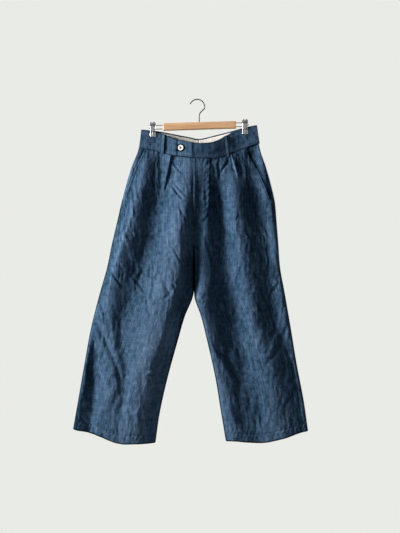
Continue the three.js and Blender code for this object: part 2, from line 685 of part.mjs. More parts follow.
const sockets = CLIPS.flatMap(({ arm }) => [ARM_SPREAD, -ARM_SPREAD].map((z) => {
  const socket = new THREE.CylinderGeometry(ARM_WIRE + GAP, ARM_WIRE + GAP, 2 * (ARM_SOCKET + GAP), 12);
  return socket.rotateZ(Math.PI / 2).translate((arm * BAR.length) / 2, 0, z);
}));
const stemDepth = BAR.z - 5 - GAP;
const stemSocket = new THREE.CylinderGeometry(HOOK_WIRE + GAP, HOOK_WIRE + GAP, 30, 12);
stemSocket.rotateX(Math.PI / 2).translate(STEM_X, 0, stemDepth + 15);
stemSocket.applyMatrix4(hanger.matrixWorld.clone().invert());
add('hanger_bar', cut(barBlank(), [...sockets, stemSocket]), WOOD, hanger);
for (const clip of CLIPS) {
  add(`arm_${clip.name}`, wire(armPath(clip), ARM_WIRE, 36, 8), STEEL, hanger);
  add(`clip_front_${clip.name}`, clipPlate(FRONT, clip.x), STEEL, hanger);
  add(`clip_back_${clip.name}`, clipPlate(BACK, clip.x), STEEL, hanger);
  add(`clip_spring_${clip.name}`, clipSpring(clip.x), STEEL, hanger);
}
add('hook', wire(hookPath(), HOOK_WIRE, 50, 10), STEEL);

export default trousers;
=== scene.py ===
# %% [markdown]
# # Wide-leg trousers on a clip hanger
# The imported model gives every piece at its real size, as plain faceted walls. This script keeps that
# frame and makes the surfaces: linen panels with their folds and creases, a waistband with belt loops
# and a button, rows of stitching, and a wooden bar hanger with two sprung steel clips.
# Everything is worked out in millimetres and scaled to metres when a mesh is made.

# %% Load the frame
import math

import bpy
import numpy as np
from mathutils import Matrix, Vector


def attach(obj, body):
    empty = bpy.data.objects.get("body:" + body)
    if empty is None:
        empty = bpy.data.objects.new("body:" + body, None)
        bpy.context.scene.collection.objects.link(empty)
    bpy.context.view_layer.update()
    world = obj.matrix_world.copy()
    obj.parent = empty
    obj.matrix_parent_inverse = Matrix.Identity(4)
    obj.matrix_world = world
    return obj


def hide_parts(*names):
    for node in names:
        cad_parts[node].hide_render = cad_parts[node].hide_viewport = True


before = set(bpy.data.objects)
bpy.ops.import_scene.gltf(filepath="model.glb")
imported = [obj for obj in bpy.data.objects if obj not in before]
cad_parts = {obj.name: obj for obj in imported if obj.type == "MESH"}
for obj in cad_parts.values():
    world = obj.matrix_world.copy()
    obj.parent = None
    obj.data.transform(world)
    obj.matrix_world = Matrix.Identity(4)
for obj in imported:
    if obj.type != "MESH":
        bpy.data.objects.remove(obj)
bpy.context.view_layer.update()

# %% [markdown]
# ## The camera and the light
# The trousers hang against nothing here, so the pale surroundings are the world itself. Cloth folds
# read by side light: one soft lamp stands far to the left and grazes the front, so that a slope that
# faces right falls dark. The world has three uses, and the light path node tells them apart. It is
# pale where the camera sees it. It is a room, dark below and bright above, where the steel reflects
# it. As a source of light it is only a faint blue that fills the shadows.

# %% Objects in the scene
def in_scene(name, data):
    """New object with that data, linked into the scene."""
    made = bpy.data.objects.new(name, data)
    bpy.context.scene.collection.objects.link(made)
    return made


# %% Camera
CAMERA_PLACE = (0.009, -2.5, -0.533)
FRAME_HEIGHT = 1.7056  # metres of the garment's plane from the frame's lower to its upper edge
SENSOR = 36  # width of the sensor in millimetres

camera_data = bpy.data.cameras.new("camera")
camera_data.sensor_width = SENSOR
camera_data.lens = SENSOR * -CAMERA_PLACE[1] / FRAME_HEIGHT
camera = in_scene("camera", camera_data)
camera.location = CAMERA_PLACE
camera.rotation_euler = (math.pi / 2, 0, 0)
bpy.context.scene.camera = camera
bpy.context.scene.view_settings.view_transform = "Standard"
print("lens:", round(camera_data.lens, 2), "mm")

# %% Studio light
LOOK_AT = Vector((0.0, 0.0, -0.6))
LIGHTS = [
    # name, place, size, watts, colour
    ("key", (-2.62, -0.74, 0.3), 0.75, 208, (1.0, 0.96, 0.9)),
    ("front_fill", (-0.6, -2.9, 0.7), 2.0, 1.1, (0.4, 0.82, 1.0)),
    ("back_fill", (2.1, 1.6, 0.3), 1.4, 105, (1.0, 0.99, 0.97)),
]

for name, place, size, watts, colour in LIGHTS:
    lamp = bpy.data.lights.new(name, "AREA")
    lamp.shape = "DISK"
    lamp.size = size
    lamp.energy = watts
    lamp.color = colour
    lamp_object = in_scene(name, lamp)
    lamp_object.location = place
    lamp_object.rotation_euler = (LOOK_AT - Vector(place)).to_track_quat("-Z", "Y").to_euler()
print("lights:", [row[0] for row in LIGHTS])

# %% Nodes: two helpers for the world and, later, the finishes
def feed(tree, node, inputs):
    """Each socket, by number or name, gets a value or is joined to another node's output."""
    for socket, value in dict(inputs).items():
        if isinstance(value, bpy.types.NodeSocket):
            tree.links.new(value, node.inputs[socket])
        else:
            node.inputs[socket].default_value = value
    return node


def put(tree, kind, inputs=(), **settings):
    """New node with its settings and inputs."""
    made = tree.nodes.new(kind)
    for key, value in settings.items():
        setattr(made, key, value)
    return feed(tree, made, inputs)


def ramp(tree, value, stops):
    """Colour ramp with (place, colour) stops."""
    made = put(tree, "ShaderNodeValToRGB", {0: value})
    for _ in range(len(stops) - 2):
        made.color_ramp.elements.new(0.5)
    for element, (place, colour) in zip(made.color_ramp.elements, stops):
        element.position = place
        element.color = (*colour, 1)
    return made.outputs["Color"]


# %% World: pale to look at, a room to reflect, dim as a source of light
PALE = (0.82, 0.83, 0.79, 1)
FILL = (0.0002, 0.0068, 0.019, 1)
REFLECTED = [(0.0, (0.05,) * 3), (0.6, (0.75,) * 3)]  # height of a reflected direction, and its grey

world = bpy.data.worlds.new("studio")
world.use_nodes = True
bpy.context.scene.world = world
tree = world.node_tree
tree.nodes.clear()
direction = put(tree, "ShaderNodeTexCoord").outputs["Generated"]
upward = put(tree, "ShaderNodeSeparateXYZ", {0: direction}).outputs["Z"]
seen, room, fill = (put(tree, "ShaderNodeBackground", {"Color": colour}).outputs[0]
                    for colour in (PALE, ramp(tree, upward, REFLECTED), FILL))
ray = put(tree, "ShaderNodeLightPath").outputs
unseen = put(tree, "ShaderNodeMixShader", {0: ray["Is Diffuse Ray"], 1: room, 2: fill}).outputs[0]
shown = put(tree, "ShaderNodeMixShader", {0: ray["Is Camera Ray"], 1: unseen, 2: seen}).outputs[0]
put(tree, "ShaderNodeOutputWorld", {"Surface": shown})

# %% [markdown]
# ## Sizes
# The same driving dimensions as the frame's, so that each surface lies on its own solid. Only the
# middle of the waist differs: it dips 3 to 5 mm lower, as the real band does. A table has a key and
# one value for each side or face, and a smooth curve runs through its rows.

# %% Names and small helpers
MM = 0.001
RIGHT, LEFT = -1, 1  # the wearer's sides, along X
FRONT, BACK = -1, 1  # the faces, along Y
SIDE = {RIGHT: "right", LEFT: "left"}
FACE = {FRONT: "front", BACK: "back"}
SIDES = (RIGHT, LEFT)


def lerp(a, b, t):
    """a at t 0 and b at t 1, in a straight line between."""
    return a + (b - a) * t


def smoothstep(x, low, high):
    """0 below low, 1 above high, and an S-curve between them."""
    t = np.clip((x - low) / (high - low), 0, 1)
    return t * t * (3 - 2 * t)


def bell(x, width):
    """A bell that is 1 at 0 and falls to 1/e at a width to either side."""
    return np.exp(-((x / width) ** 2))


def table(columns, rows):
    """Columns by name, as arrays."""
    return dict(zip(columns, np.array(rows, float).T))


def along(keys, values, at):
    """Smooth curve through points. Between two of them it is a cubic whose slope at each end is that
    of the line between the neighbours of that end; past the last points it is level."""
    keys, values = np.asarray(keys, float), np.asarray(values, float)
    if keys[0] > keys[-1]:
        keys, values = keys[::-1], values[::-1]
    at = np.clip(at, keys[0], keys[-1])
    i = np.clip(np.searchsorted(keys, at, side="right") - 1, 0, len(keys) - 2)
    after = np.minimum(np.arange(len(keys)) + 1, len(keys) - 1)
    before = np.maximum(np.arange(len(keys)) - 1, 0)
    slopes = (values[after] - values[before]) / (keys[after] - keys[before])
    width = keys[i + 1] - keys[i]
    t = (at - keys[i]) / width
    ends = lerp(values[i], values[i + 1], smoothstep(t, 0, 1))
    return ends + t * (1 - t) * width * ((1 - t) * slopes[i] - t * slopes[i + 1])


# %% Outline of the legs, the band and the hems, in millimetres
GAP = 0.3  # between two pieces that lie on each other
WAIST_GAP = 0.5  # between the band and the panels below it
CLOTH = 1.5  # the cloth of a leg with its folds pressed flat
PANEL_WALL = 1.0  # and the shell that is made of it here
INSEAM_SET = CLOTH / 2  # the middle of the cloth lies this far inside the inseam
INSEAM_OPENS = (610, 660)  # depths between which it moves there from the fork
TOUCH = -0.6  # the legs press on each other at the centre seam, so no light shows between them
BAND = 2.0  # thickness of the waistband
BAND_HEIGHT = 47.0
BAND_SIDE = (-90, -157)  # heights of its upper and lower edge at the sides
CENTRE_X = -10.5  # the centre front, which hangs a little off the middle
CENTRE_BACK_X = 6.0  # the seam of the band at the centre back
FLY_END = -400.0  # height of the foot of the fly
CROTCH = -576.0  # height of the fork
SETTLE = 120.0  # below the waist, the panels take this far to reach their full depth

OUTSEAM = table(("z", "right", "left"), [
    (-80, -178, 190), (-157, -188, 201), (-212, -209, 219), (-269, -226, 235), (-327, -241, 248),
    (-384, -254, 253), (-461, -272, 259), (-538, -288, 265), (-615, -310, 279), (-730, -339, 299),
    (-845, -360, 318), (-960, -380, 340), (-1056, -397, 354),
])
INSEAM = table(("z", "right", "left"), [
    (-576, -10.9, -10.1), (-612, -11.0, -10.0), (-640, -17, -6.5), (-692, -39, 12), (-768, -61, 31),
    (-884, -93, 57), (-999, -119, 76), (-1095, -133, 92),
])
WAIST = table(("x", "front_top", "back_top", "front_seam", "back_seam"), [
    (-190, -94, -94, -156, -156), (-150, -98, -97, -161, -157), (-125, -104, -100, -167, -159),
    (-74, -125, -109, -180, -164), (-23, -137, -118, -187, -171), (6, -141, -123, -190, -174),
    (54, -135, -113, -190, -167), (105, -108, -101, -178, -158), (131, -96, -94, -166, -153),
    (169, -85, -84, -150, -146), (202, -78, -78, -139, -139),
])
HEM = table(("share", "right", "left"), [
    (0, -1050, -1056), (0.12, -1056, -1063), (0.3, -1069, -1078), (0.55, -1093, -1093),
    (0.75, -1095, -1091), (0.9, -1095, -1087), (1, -1095, -1088),
])
DEPTH = table(("z", "front", "back"), [
    (-150, 18, 10), (-260, 30, 14), (-400, 38, 17), (-576, 35, 18), (-750, 32, 18),
    (-950, 29, 17), (-1095, 26, 16),
])
SIDE_SEAM_TOP = {RIGHT: -156, LEFT: -139}

BAND_Y = {FRONT: -2.0, BACK: 1.6}  # the middle of the band at the clips
BAND_BOW = {FRONT: 18.0, BACK: 9.0}  # and how far it bows out between them
BOW_FROM, BOW_TO = -130.0, 141.0  # the clips


# %% The outline as functions
def outseam_x(side, z):
    """The outline at the outseam: its x at a height."""
    return along(OUTSEAM["z"], OUTSEAM[SIDE[side]], z)


def top_z(face, x):
    """Height of the band's upper edge across the garment."""
    return along(WAIST["x"], WAIST[FACE[face] + "_top"], x)


def seam_z(face, x):
    """Height of the waist seam across the garment."""
    return along(WAIST["x"], WAIST[FACE[face] + "_seam"], x)


def side_top(side, face=FRONT):
    """Height at which the waist seam meets the outseam."""
    return seam_z(face, outseam_x(side, SIDE_SEAM_TOP[side]))


def hem_z(side, share):
    """Height of the hem at a share of its width, from the outseam inwards."""
    return along(HEM["share"], HEM[SIDE[side]], share)


def tube_share(z):
    """0 where the panels run across the body, 1 where each leg is a tube of its own."""
    return smoothstep(-z, -FLY_END, -CROTCH)


def inner_x(side, z):
    """Inner end of a row of a panel: the centre seam, and below the crotch the inseam."""
    centre = CENTRE_X + side * (TOUCH + np.sin(tube_share(z) * math.pi / 2) * PANEL_WALL / 2)
    leg = along(INSEAM["z"], INSEAM[SIDE[side]], z) + side * INSEAM_SET * smoothstep(-z, *INSEAM_OPENS)
    return np.where(z > CROTCH, centre, leg)


def band_bow(face, x):
    """How far the band bows out between the clips: the square of a sine, nothing at the clips."""
    share = np.clip((x - BOW_FROM) / (BOW_TO - BOW_FROM), 0, 1)
    return BAND_BOW[face] * np.sin(math.pi * share) ** 2


def band_y(face, x):
    """Middle of the band on one face: its place at the clips, and the bow between them."""
    return BAND_Y[face] + face * band_bow(face, x)


print("waist seam at the centre front:", round(float(seam_z(FRONT, CENTRE_X)), 1), "mm")

# %% [markdown]
# ## The folds
# Linen hangs from a clamped waist in long soft folds. They start at the pleats, lean with the legs
# and die out above the hems. The front's are lines of crests and troughs, joined across. The back's,
# and a few thin ones low on the front, are single lines with a height and a width of their own. A
# pleat is different: its cloth is folded over, so it has a sharp step on one side and a slow fall on
# the other. Small creases are short troughs with a ridge of displaced cloth beside them. A simulation
# would give folds too, but not these ones, in these places.

# %% The front's folds: lines of crests and troughs, from the wearer's right to the left
DRAPE = {
    # each line: height of the place, its x, and how far it stands out
    "edge_crest": [(-150, -170, 1), (-416, -246, 2), (-640, -300, 2), (-740, -332, 2), (-832, -352, 7),
                   (-960, -371, 8), (-1100, -388, 5)],
    "edge_trough": [(-150, -166, 2), (-416, -232, 5), (-640, -290, 4), (-740, -322, 1), (-832, -332, -8),
                    (-960, -333, -9), (-1100, -345, -6)],
    "crest_a": [(-150, -155, 2), (-208, -165, 4.5), (-272, -181, 5.5), (-416, -220, 8), (-512, -256, 8),
                (-576, -274, 7), (-640, -281, 6), (-704, -276, 4), (-768, -266, 2), (-850, -276, 1),
                (-960, -300, 0), (-1100, -312, 0)],
    "trough_a": [(-150, -119, -4), (-208, -119, -7), (-272, -122, -11), (-320, -129, -14), (-416, -139, -14),
                 (-512, -172, -13), (-576, -188, -12), (-640, -213, -9), (-704, -236, -6),
                 (-768, -242, -4), (-850, -240, 0), (-960, -255, 2), (-1100, -275, 2)],
    "crest_b": [(-150, -50, 1), (-208, -24, 1), (-272, -30, 6), (-320, -36, 8), (-416, -54, 11),
                (-512, -54, 13), (-576, -64, 14), (-640, -83, 15), (-704, -99, 16), (-768, -118, 16),
                (-832, -147, 15), (-896, -163, 13), (-960, -184, 11), (-1100, -205, 8)],
    "valley": [(-150, -6, 1), (-208, 4, 0), (-272, 14, -2), (-320, 9, -4), (-416, 0, -10),
               (-512, -12, -18), (-576, -16, -17), (-640, -34, -15), (-704, -40, -18), (-832, -60, -18),
               (-1100, -80, -14)],
    "crest_c": [(-150, 20, 1), (-208, 26, 0), (-272, 36, -3), (-320, 35, -5), (-416, 30, -6),
                (-512, 18, -5), (-576, 19, 0), (-640, 4, 11), (-704, 2, 15), (-768, 16, 16),
                (-832, 36, 13), (-896, 64, 9), (-960, 90, 6), (-1100, 120, 4)],
    "trough_c": [(-150, 64, 1), (-208, 66, 1), (-272, 64, -11), (-320, 67, -20), (-416, 80, -24),
                 (-512, 89, -26), (-576, 98, -26), (-640, 109, -25), (-704, 119, -24),
                 (-768, 127, -21), (-832, 145, -17), (-896, 153, -13), (-960, 170, -9), (-1100, 195, -6)],
    "crest_d": [(-150, 105, 3), (-208, 108, 3), (-272, 119, 3), (-320, 123, 3), (-416, 130, 1),
                (-512, 146, 0), (-576, 158, 0), (-640, 171, 1), (-704, 179, 2), (-768, 203, 4),
                (-832, 222, 5), (-896, 238, 5), (-960, 251, 4), (-1100, 285, 3)],
    "trough_d": [(-150, 183, -6), (-208, 182, -8), (-272, 182, -12), (-320, 190, -13),
                 (-416, 206, -13), (-512, 222, -12), (-640, 234, -12), (-704, 246, -12),
                 (-768, 270, -8), (-832, 295, -6), (-896, 312, -4), (-1100, 343, -2)],
    "edge_left": [(-150, 202, 1), (-416, 250, 2), (-640, 277, 2), (-832, 314, 1), (-1100, 356, 0)],
}
DRAPE_GROWS = (-8.0, 30.0)  # depths below the waist seam over which the folds grow from nothing


def drape(x, z):
    """The front's folds in one piece: across the garment, the height goes from one line's to the
    next line's as an S-curve, so that lines of crest and trough lie exactly where they are put."""
    lines = [(along(rows[:, 0], rows[:, 1], z), along(rows[:, 0], rows[:, 2], z))
             for rows in (np.array(line, float) for line in DRAPE.values())]
    height = np.where(x < lines[0][0], lines[0][1], lines[-1][1])
    for (x0, h0), (x1, h1) in zip(lines, lines[1:]):
        share = (x - x0) / np.maximum(x1 - x0, 1)
        height = np.where((share >= 0) & (share < 1), lerp(h0, h1, smoothstep(share, 0, 1)), height)
    return height * smoothstep(seam_z(FRONT, x) - z, *DRAPE_GROWS)


# %% Long single folds: the line, the width to its left and right, the rise, and how it fades out
FOLDS = [
    # side (0 is both), face, line of (x, z), widths to the left and right, rise, fades above and below
    (RIGHT, FRONT, [(-240, -760), (-262, -880), (-285, -1010)], 18, 14, 3.5, 100, 80),
    (RIGHT, FRONT, [(-215, -820), (-230, -920), (-242, -1030)], 12, 12, -3.5, 80, 60),
    (LEFT, FRONT, [(118, -860), (132, -960), (150, -1060)], 12, 14, -4, 90, 40),
    (LEFT, FRONT, [(186, -880), (196, -960), (206, -1040)], 12, 12, -2.5, 60, 50),
    (RIGHT, BACK, [(-104, -180), (-130, -380), (-165, -640), (-235, -960)], 32, 26, 13, 60, 160),
    (RIGHT, BACK, [(-60, -200), (-72, -420), (-110, -700), (-170, -1010)], 24, 26, -17, 60, 140),
    (RIGHT, BACK, [(-168, -230), (-205, -480), (-262, -760), (-310, -980)], 26, 28, -15, 90, 120),
    (LEFT, BACK, [(112, -180), (122, -380), (150, -640), (205, -980)], 28, 32, 13, 60, 140),
    (LEFT, BACK, [(62, -200), (68, -420), (92, -700), (130, -1000)], 26, 24, -17, 60, 150),
    (LEFT, BACK, [(170, -230), (192, -480), (228, -760), (268, -990)], 28, 24, -15, 90, 130),
    (0, BACK, [(-10, -300), (-11, -470), (-11, -600)], 22, 22, -9, 120, 60),
]
FOLD_POWER = 1.75  # below 2, so that the crest is a little sharper than a bell


def folds(side, face, x, z):
    """Sum over the folds: rise times a bell across the line, which has its own width on each side,
    times an S-curve that fades the fold in at its upper end and out at its lower end."""
    height = np.zeros_like(x)
    for of_side, of_face, line, left, right, rise, fade_top, fade_bottom in FOLDS:
        if of_side not in (0, side) or of_face != face:
            continue
        places = np.array(line, float)
        away = x - along(places[:, 1], places[:, 0], z)
        across = np.exp(-np.abs(away / np.where(away < 0, left, right)) ** FOLD_POWER)
        top, bottom = places[0, 1], places[-1, 1]
        shown = smoothstep(top - z, -10, fade_top) * smoothstep(z - bottom, -10, fade_bottom)
        height += rise * across * shown
    return height + (drape(x, z) if face == FRONT else 0)


# %% Pleats
PLEATS = [
    # side, top, end, lap behind the edge, step at the edge, rise
    (RIGHT, (-84, -180), (-108, -306), 26, 2.0, 7.5),
    (RIGHT, (-129, -166), (-122, -315), 24, 9, 2),
    (LEFT, (107.5, -172), (134, -266), 20, 2.2, 5.5),
    (LEFT, (150, -158), (158, -270), 18, 9, 1.5),
]


def pleats(side, x, z):
    """Sum over the pleats: towards the outseam the height falls as an exponential over the lap,
    towards the middle it drops as a narrow bell, and both fade out down the pleat."""
    height = np.zeros_like(x)
    for of_side, top, end, lap, step, rise in PLEATS:
        if of_side != side:
            continue
        down = np.clip((top[1] - z) / (top[1] - end[1]), 0, 1)
        outward = side * (x - lerp(top[0], end[0], down))
        across = np.where(outward > 0, np.exp(-np.maximum(outward, 0) / lap), bell(outward, step))
        height += rise * (1 - smoothstep(down, 0.45, 1)) * across
    return height


# %% Small creases, placed one by one
CREASES = {
    # for each panel: from x, z to x, z, then width, depth (negative sinks) and bow
    (RIGHT, FRONT): [
        (-81, -196, -44, -242, 4, -2.6, 0), (-84, -271, -41, -324, 4, -2.8, 2),
        (-73, -266, -33, -311, 3.5, -1.8, 2), (-199, -256, -188, -324, 4, 1.5, 2),
        (-218, -279, -202, -381, 5, 1.8, -3), (-273, -543, -234, -599, 4, -1.6, 2),
        (-216, -556, -164, -618, 4, -1.6, -3), (-321, -704, -233, -919, 8, -2.8, -6),
        (-170, -880, -105, -836, 4, 1.8, 2), (-92, -453, -47, -528, 4, -1.3, -3),
        (-42, -452, -45, -519, 4, -1.1, 1), (-247, -391, -212, -471, 6, 1.5, 3),
        (-308, -640, -285, -698, 5, -1.5, 2), (-349, -807, -324, -935, 7, -1.8, 4),
        (-221, -944, -183, -1018, 7, 1.5, 3), (-109, -640, -68, -592, 6, -1.5, 2),
        (-164, -420, -186, -519, 6, -1.8, -4), (-61, -336, -29, -391, 5, -1.5, 2),
    ],
    (LEFT, FRONT): [
        (135, -362, 118, -397, 2.2, -1.9, 0), (104, -189, 75, -236, 3.5, -2.8, 1),
        (67, -186, 73, -260, 4, -2.2, 1), (294, -704, 207, -868, 8, -2.6, -5),
        (55, -778, 143, -919, 10, -3.4, -6), (207, -391, 239, -448, 5, -1.5, 2),
        (7, -404, 8, -608, 5, 2, 1), (25, -432, 51, -519, 5, -1.5, 2),
        (147, -519, 124, -592, 5, -1.5, 3), (271, -576, 227, -634, 5, -1.6, 3),
        (137, -640, 99, -711, 6, -1.5, -3), (316, -912, 281, -976, 6, -1.5, 3),
        (207, -935, 236, -1018, 7, 1.5, -3), (25, -276, 31, -352, 3.5, -1.4, 1),
        (3, -308, 9, -378, 3, -1.2, -1), (172, -272, 188, -368, 6, -1.5, 3),
        (111, -944, 137, -1040, 7, -1.6, 3),
    ],
    (RIGHT, BACK): [
        (-120, -205, -88, -262, 4, -2.2, 2), (-44, -300, -92, -372, 5, -2.2, -3),
        (-190, -420, -236, -505, 5, -2, 3), (-38, -520, -96, -600, 5, -2.4, 4),
        (-150, -640, -214, -742, 6, -2.2, -4), (-300, -760, -250, -880, 6, -2.4, 5),
        (-150, -900, -206, -960, 6, 1.6, 3),
    ],
    (LEFT, BACK): [
        (80, -200, 116, -268, 4, -2.2, -2), (36, -290, 84, -350, 5, -2, 3),
        (205, -395, 158, -470, 5, -2.2, 3), (18, -500, 70, -592, 5, -2.4, -4),
        (120, -660, 180, -748, 6, -2, 4), (288, -800, 226, -905, 6, -2.4, -4),
        (120, -880, 166, -968, 6, 1.6, -3),
    ],
}
CREASE_GAIN = 1.15  # linen creases deeply; one factor for all of them
RIDGE_SHARE = 0.55  # height of the ridge beside a crease, as a share of the crease's depth
RIDGE_AWAY = 1.8  # and how many widths away it lies


def creases(side, face, x, z):
    """Sum over the creases: depth times a bell across a slightly bowed line, less a share of it for
    the ridge beside the line, both fading in and out along the line as the root of a sine."""
    height = np.zeros_like(x)
    for x0, z0, x1, z1, width, depth, bow in CREASES[side, face]:
        length = math.hypot(x1 - x0, z1 - z0)
        ux, uz = (x1 - x0) / length, (z1 - z0) / length
        on = ((x - x0) * ux + (z - z0) * uz) / length
        inside = np.sin(math.pi * np.clip(on, 0, 1))
        away = (x - x0) * uz - (z - z0) * ux - bow * inside
        across = bell(away, width) - RIDGE_SHARE * bell(away - RIDGE_AWAY * width, width)
        height += CREASE_GAIN * depth * inside**0.6 * across
    return height


# %% Crumple: fine uneven relief of linen that has been washed and hung
NOISE_CELLS = 256  # the cells of random heights repeat after this many
NOISE_START = (64.0, 190.0)  # the cell at the origin, so that the garment lies well inside them


def noise(x, y, seed, size):
    """Smooth noise from -1 to 1: random heights at the corners of square cells of a size, joined
    across each cell by an S-curve both ways."""
    heights = np.random.default_rng(seed).uniform(-1, 1, (NOISE_CELLS + 1, NOISE_CELLS + 1))
    u, v = x / size + NOISE_START[0], y / size + NOISE_START[1]
    i, j = np.floor(u).astype(int), np.floor(v).astype(int)
    s, t = smoothstep(u - i, 0, 1), smoothstep(v - j, 0, 1)
    i, j = i % NOISE_CELLS, j % NOISE_CELLS
    low = lerp(heights[i, j], heights[i + 1, j], s)
    high = lerp(heights[i, j + 1], heights[i + 1, j + 1], s)
    return lerp(low, high, t)


CRUMPLES = [
    # seed, cell across, cell down, height: long shallow ripples first, then shorter ones
    (11, 22, 60, 1.7),
    (12, 11, 30, 1.35),
    (13, 7, 13, 0.75),
]


def crumple(side, face, x, z):
    """Ridged noise in three sizes: one less the size of smooth noise, so that it has sharp crests,
    on places that a slower noise has pushed about. Another slow noise makes it patchy."""
    shift = 40 * side + 900 * (face + 2)
    wx = x + shift + 9 * noise(x, z, 21, 45)
    wz = z + 14 * noise(x, z, 22, 60)
    height = np.zeros_like(x)
    for seed, across, down, rise in CRUMPLES:
        ridged = 1 - 2 * np.abs(noise(wx * (down / across), wz, seed + face, down))
        height += rise * ridged
    patchy = 0.6 + 0.4 * noise(x, z, 23, 90)
    return height * patchy


print("drape lines:", len(DRAPE), "folds:", len(FOLDS), "pleats:", len(PLEATS),
      "creases:", sum(map(len, CREASES.values())))

# %% [markdown]
# ## A leg panel as a surface
# A panel is a function of two parameters: t from the outseam to the inner seam, and v from the waist
# to the hem. Above the fly's end a row is a quarter of an ellipse, flat at the centre front. Below
# the crotch it is half of one, and between them it changes gradually, which makes the fork. The
# folds, pleats and creases are heights added along Y. Close to a seam the cloth is held, so they fade.

# %% Sizes of the making
HEM_DEPTH = 27.0  # from a hem's edge up to its row of stitches
HELD_SHARE, INNER_HELD_SHARE = 0.14, 0.07  # the seams hold the cloth over these shares of a row
LOOSE_OVER = 16.0  # below the waist seam, creases take this far to reach their full depth
POCKET_END = -315.0  # height of the foot of a pocket mouth
POCKET_TACK = 9.0  # below it, the front closes to the outseam over this much
POCKET_MOUTH = {RIGHT: (19.0, 7.0), LEFT: (40.0, 15.0)}  # in from the outseam, at the waist and below
FULLNESS = {RIGHT: 0.45, LEFT: 0.4}  # power of a panel's bulge: the lower, the flatter its middle
FLY_LINE = np.array([(43, -190), (42, -260), (41, -330), (35, -366), (18, -392), (-9, -401)], float)


def fly_line_x(z):
    """The J of stitches on the fly: its x at a height."""
    return along(FLY_LINE[:, 1], FLY_LINE[:, 0], z)


# %% Relief of the making
def pucker(along_seam, away, reach, height, pitch, seed):
    """Small ripples across a stitched seam: a sine whose phase wanders, fading away from the seam."""
    phase = 2 * math.pi * along_seam / pitch + 2.5 * noise(along_seam, 0 * along_seam, seed, 3.1 * pitch)
    return height * np.sin(phase) * bell(away, reach)


def details(side, face, x, z, hem, seam):
    """Relief of the making: the stitched hem, the waist seam and, on the front, the fly."""
    from_hem = z - hem
    from_seam = seam - z
    groove = 1.5 * bell(from_hem - HEM_DEPTH, 2.4)
    double = 0.5 * smoothstep(HEM_DEPTH - from_hem, 0, 3)
    uneven = 0.6 + 0.5 * noise(x, 0 * x, seed=37 + face, size=45)
    below = from_hem - HEM_DEPTH + 4
    wide = pucker(x - 0.4 * z, below, reach=14, height=0.7, pitch=12.5, seed=31 + face)
    narrow = pucker(x + 4, below, reach=10, height=0.3, pitch=6.1, seed=33 + face)
    height = -groove + double + wide * uneven + narrow * uneven - 0.9 * bell(from_seam, 4)
    height += pucker(x, from_seam - 4, reach=12, height=0.5, pitch=13.0, seed=35 + face)
    if face == FRONT:
        height += fly_relief(side, x, z)
    return height


def fly_relief(side, x, z):
    """The fly: the left front laps over the right one by a step along the centre seam, and inside
    the J of stitches it is a little fuller."""
    in_fly = smoothstep(z, FLY_END - 4, FLY_END + 14)
    if side == RIGHT:
        return -1.6 * in_fly * bell(x - CENTRE_X, 5)
    edge = fly_line_x(z)
    full = smoothstep(edge - x, -0.5, 3)
    groove = bell(x - edge, 2.2)
    lap = bell(x - CENTRE_X, 8)
    patchy = 0.5 + 0.5 * noise(x, z, 43, 30)
    rows = pucker(z - 0.9 * x, x - edge + 7, reach=13, height=1.1, pitch=21.0, seed=41) * patchy
    rows += pucker(z + 0.5 * x, x + 2, reach=9, height=0.7, pitch=15.0, seed=42) * (1 - patchy)
    return in_fly * (0.6 * full - 1.0 * groove + 1.0 * lap + rows)


# %% The panel's surface
def row_ends(side, face, v):
    """Ends of a panel's row: its x at the outseam and at the inner seam, and its height there."""
    outer_z = lerp(side_top(side, face), hem_z(side, 0), v)
    inner_z = lerp(seam_z(face, CENTRE_X), hem_z(side, 1), v)
    return outseam_x(side, outer_z) - side * CLOTH / 2, inner_x(side, inner_z), inner_z


def surface(side, face, t, v):
    """Middle of a panel's cloth, as x, y and z. Across a row, x follows the cosine of t and y its
    sine, to a power below 1 for a fuller edge. Down a column, z runs evenly from the waist seam to
    the hem. Near the waist, y moves over to the waistband's own."""
    outer, inner, inner_z = row_ends(side, face, v)
    tube = tube_share(inner_z)
    share = lerp(1 - np.cos(math.pi * t / 2), (1 - np.cos(math.pi * t)) / 2, tube)
    bulge = lerp(np.sin(math.pi * t / 2), np.sin(math.pi * t), tube)
    x = lerp(outer, inner, share)
    top_outer, top_inner, _ = row_ends(side, face, 0)
    top_x = lerp(top_outer, top_inner, share)
    seam, hem = seam_z(face, top_x), hem_z(side, share)
    z = lerp(seam, hem, v)
    settled = smoothstep(seam - z, 0, SETTLE)
    edge = np.sin(math.pi / 2 * np.clip(t / HELD_SHARE, 0, 1))
    pressed = face * band_y(face, x) * edge
    full = along(DEPTH["z"], DEPTH[FACE[face]], z) * np.clip(bulge, 0, 1) ** FULLNESS[side]
    inner_edge = np.sin(math.pi / 2 * np.clip((1 - t) / INNER_HELD_SHARE, 0, 1))
    held = edge * lerp(1, inner_edge, tube)
    loose = smoothstep(seam - z, 0, LOOSE_OVER)
    height = folds(side, face, x, z) + creases(side, face, x, z) * loose
    height += crumple(side, face, x, z) * loose
    if face == FRONT:
        height += pleats(side, x, z)
    height = height * held + details(side, face, x, z, hem, seam) * np.minimum(held * 2, 1)
    y = face * (GAP / 2 + lerp(pressed, full, settled) + height)
    return np.stack(np.broadcast_arrays(x, y, z), axis=-1)


def normals_of(side, face, t, v):
    """Unit normals out of a panel: the cross product of its two slopes, taken by small steps."""
    small = 1e-3
    across = surface(side, face, t + small, v) - surface(side, face, t - small, v)
    down = surface(side, face, t, v + small) - surface(side, face, t, v - small)
    normal = np.cross(across, down)
    normal *= np.sign(np.sum(normal[..., 1] * face)) or 1
    return normal / np.linalg.norm(normal, axis=-1, keepdims=True)


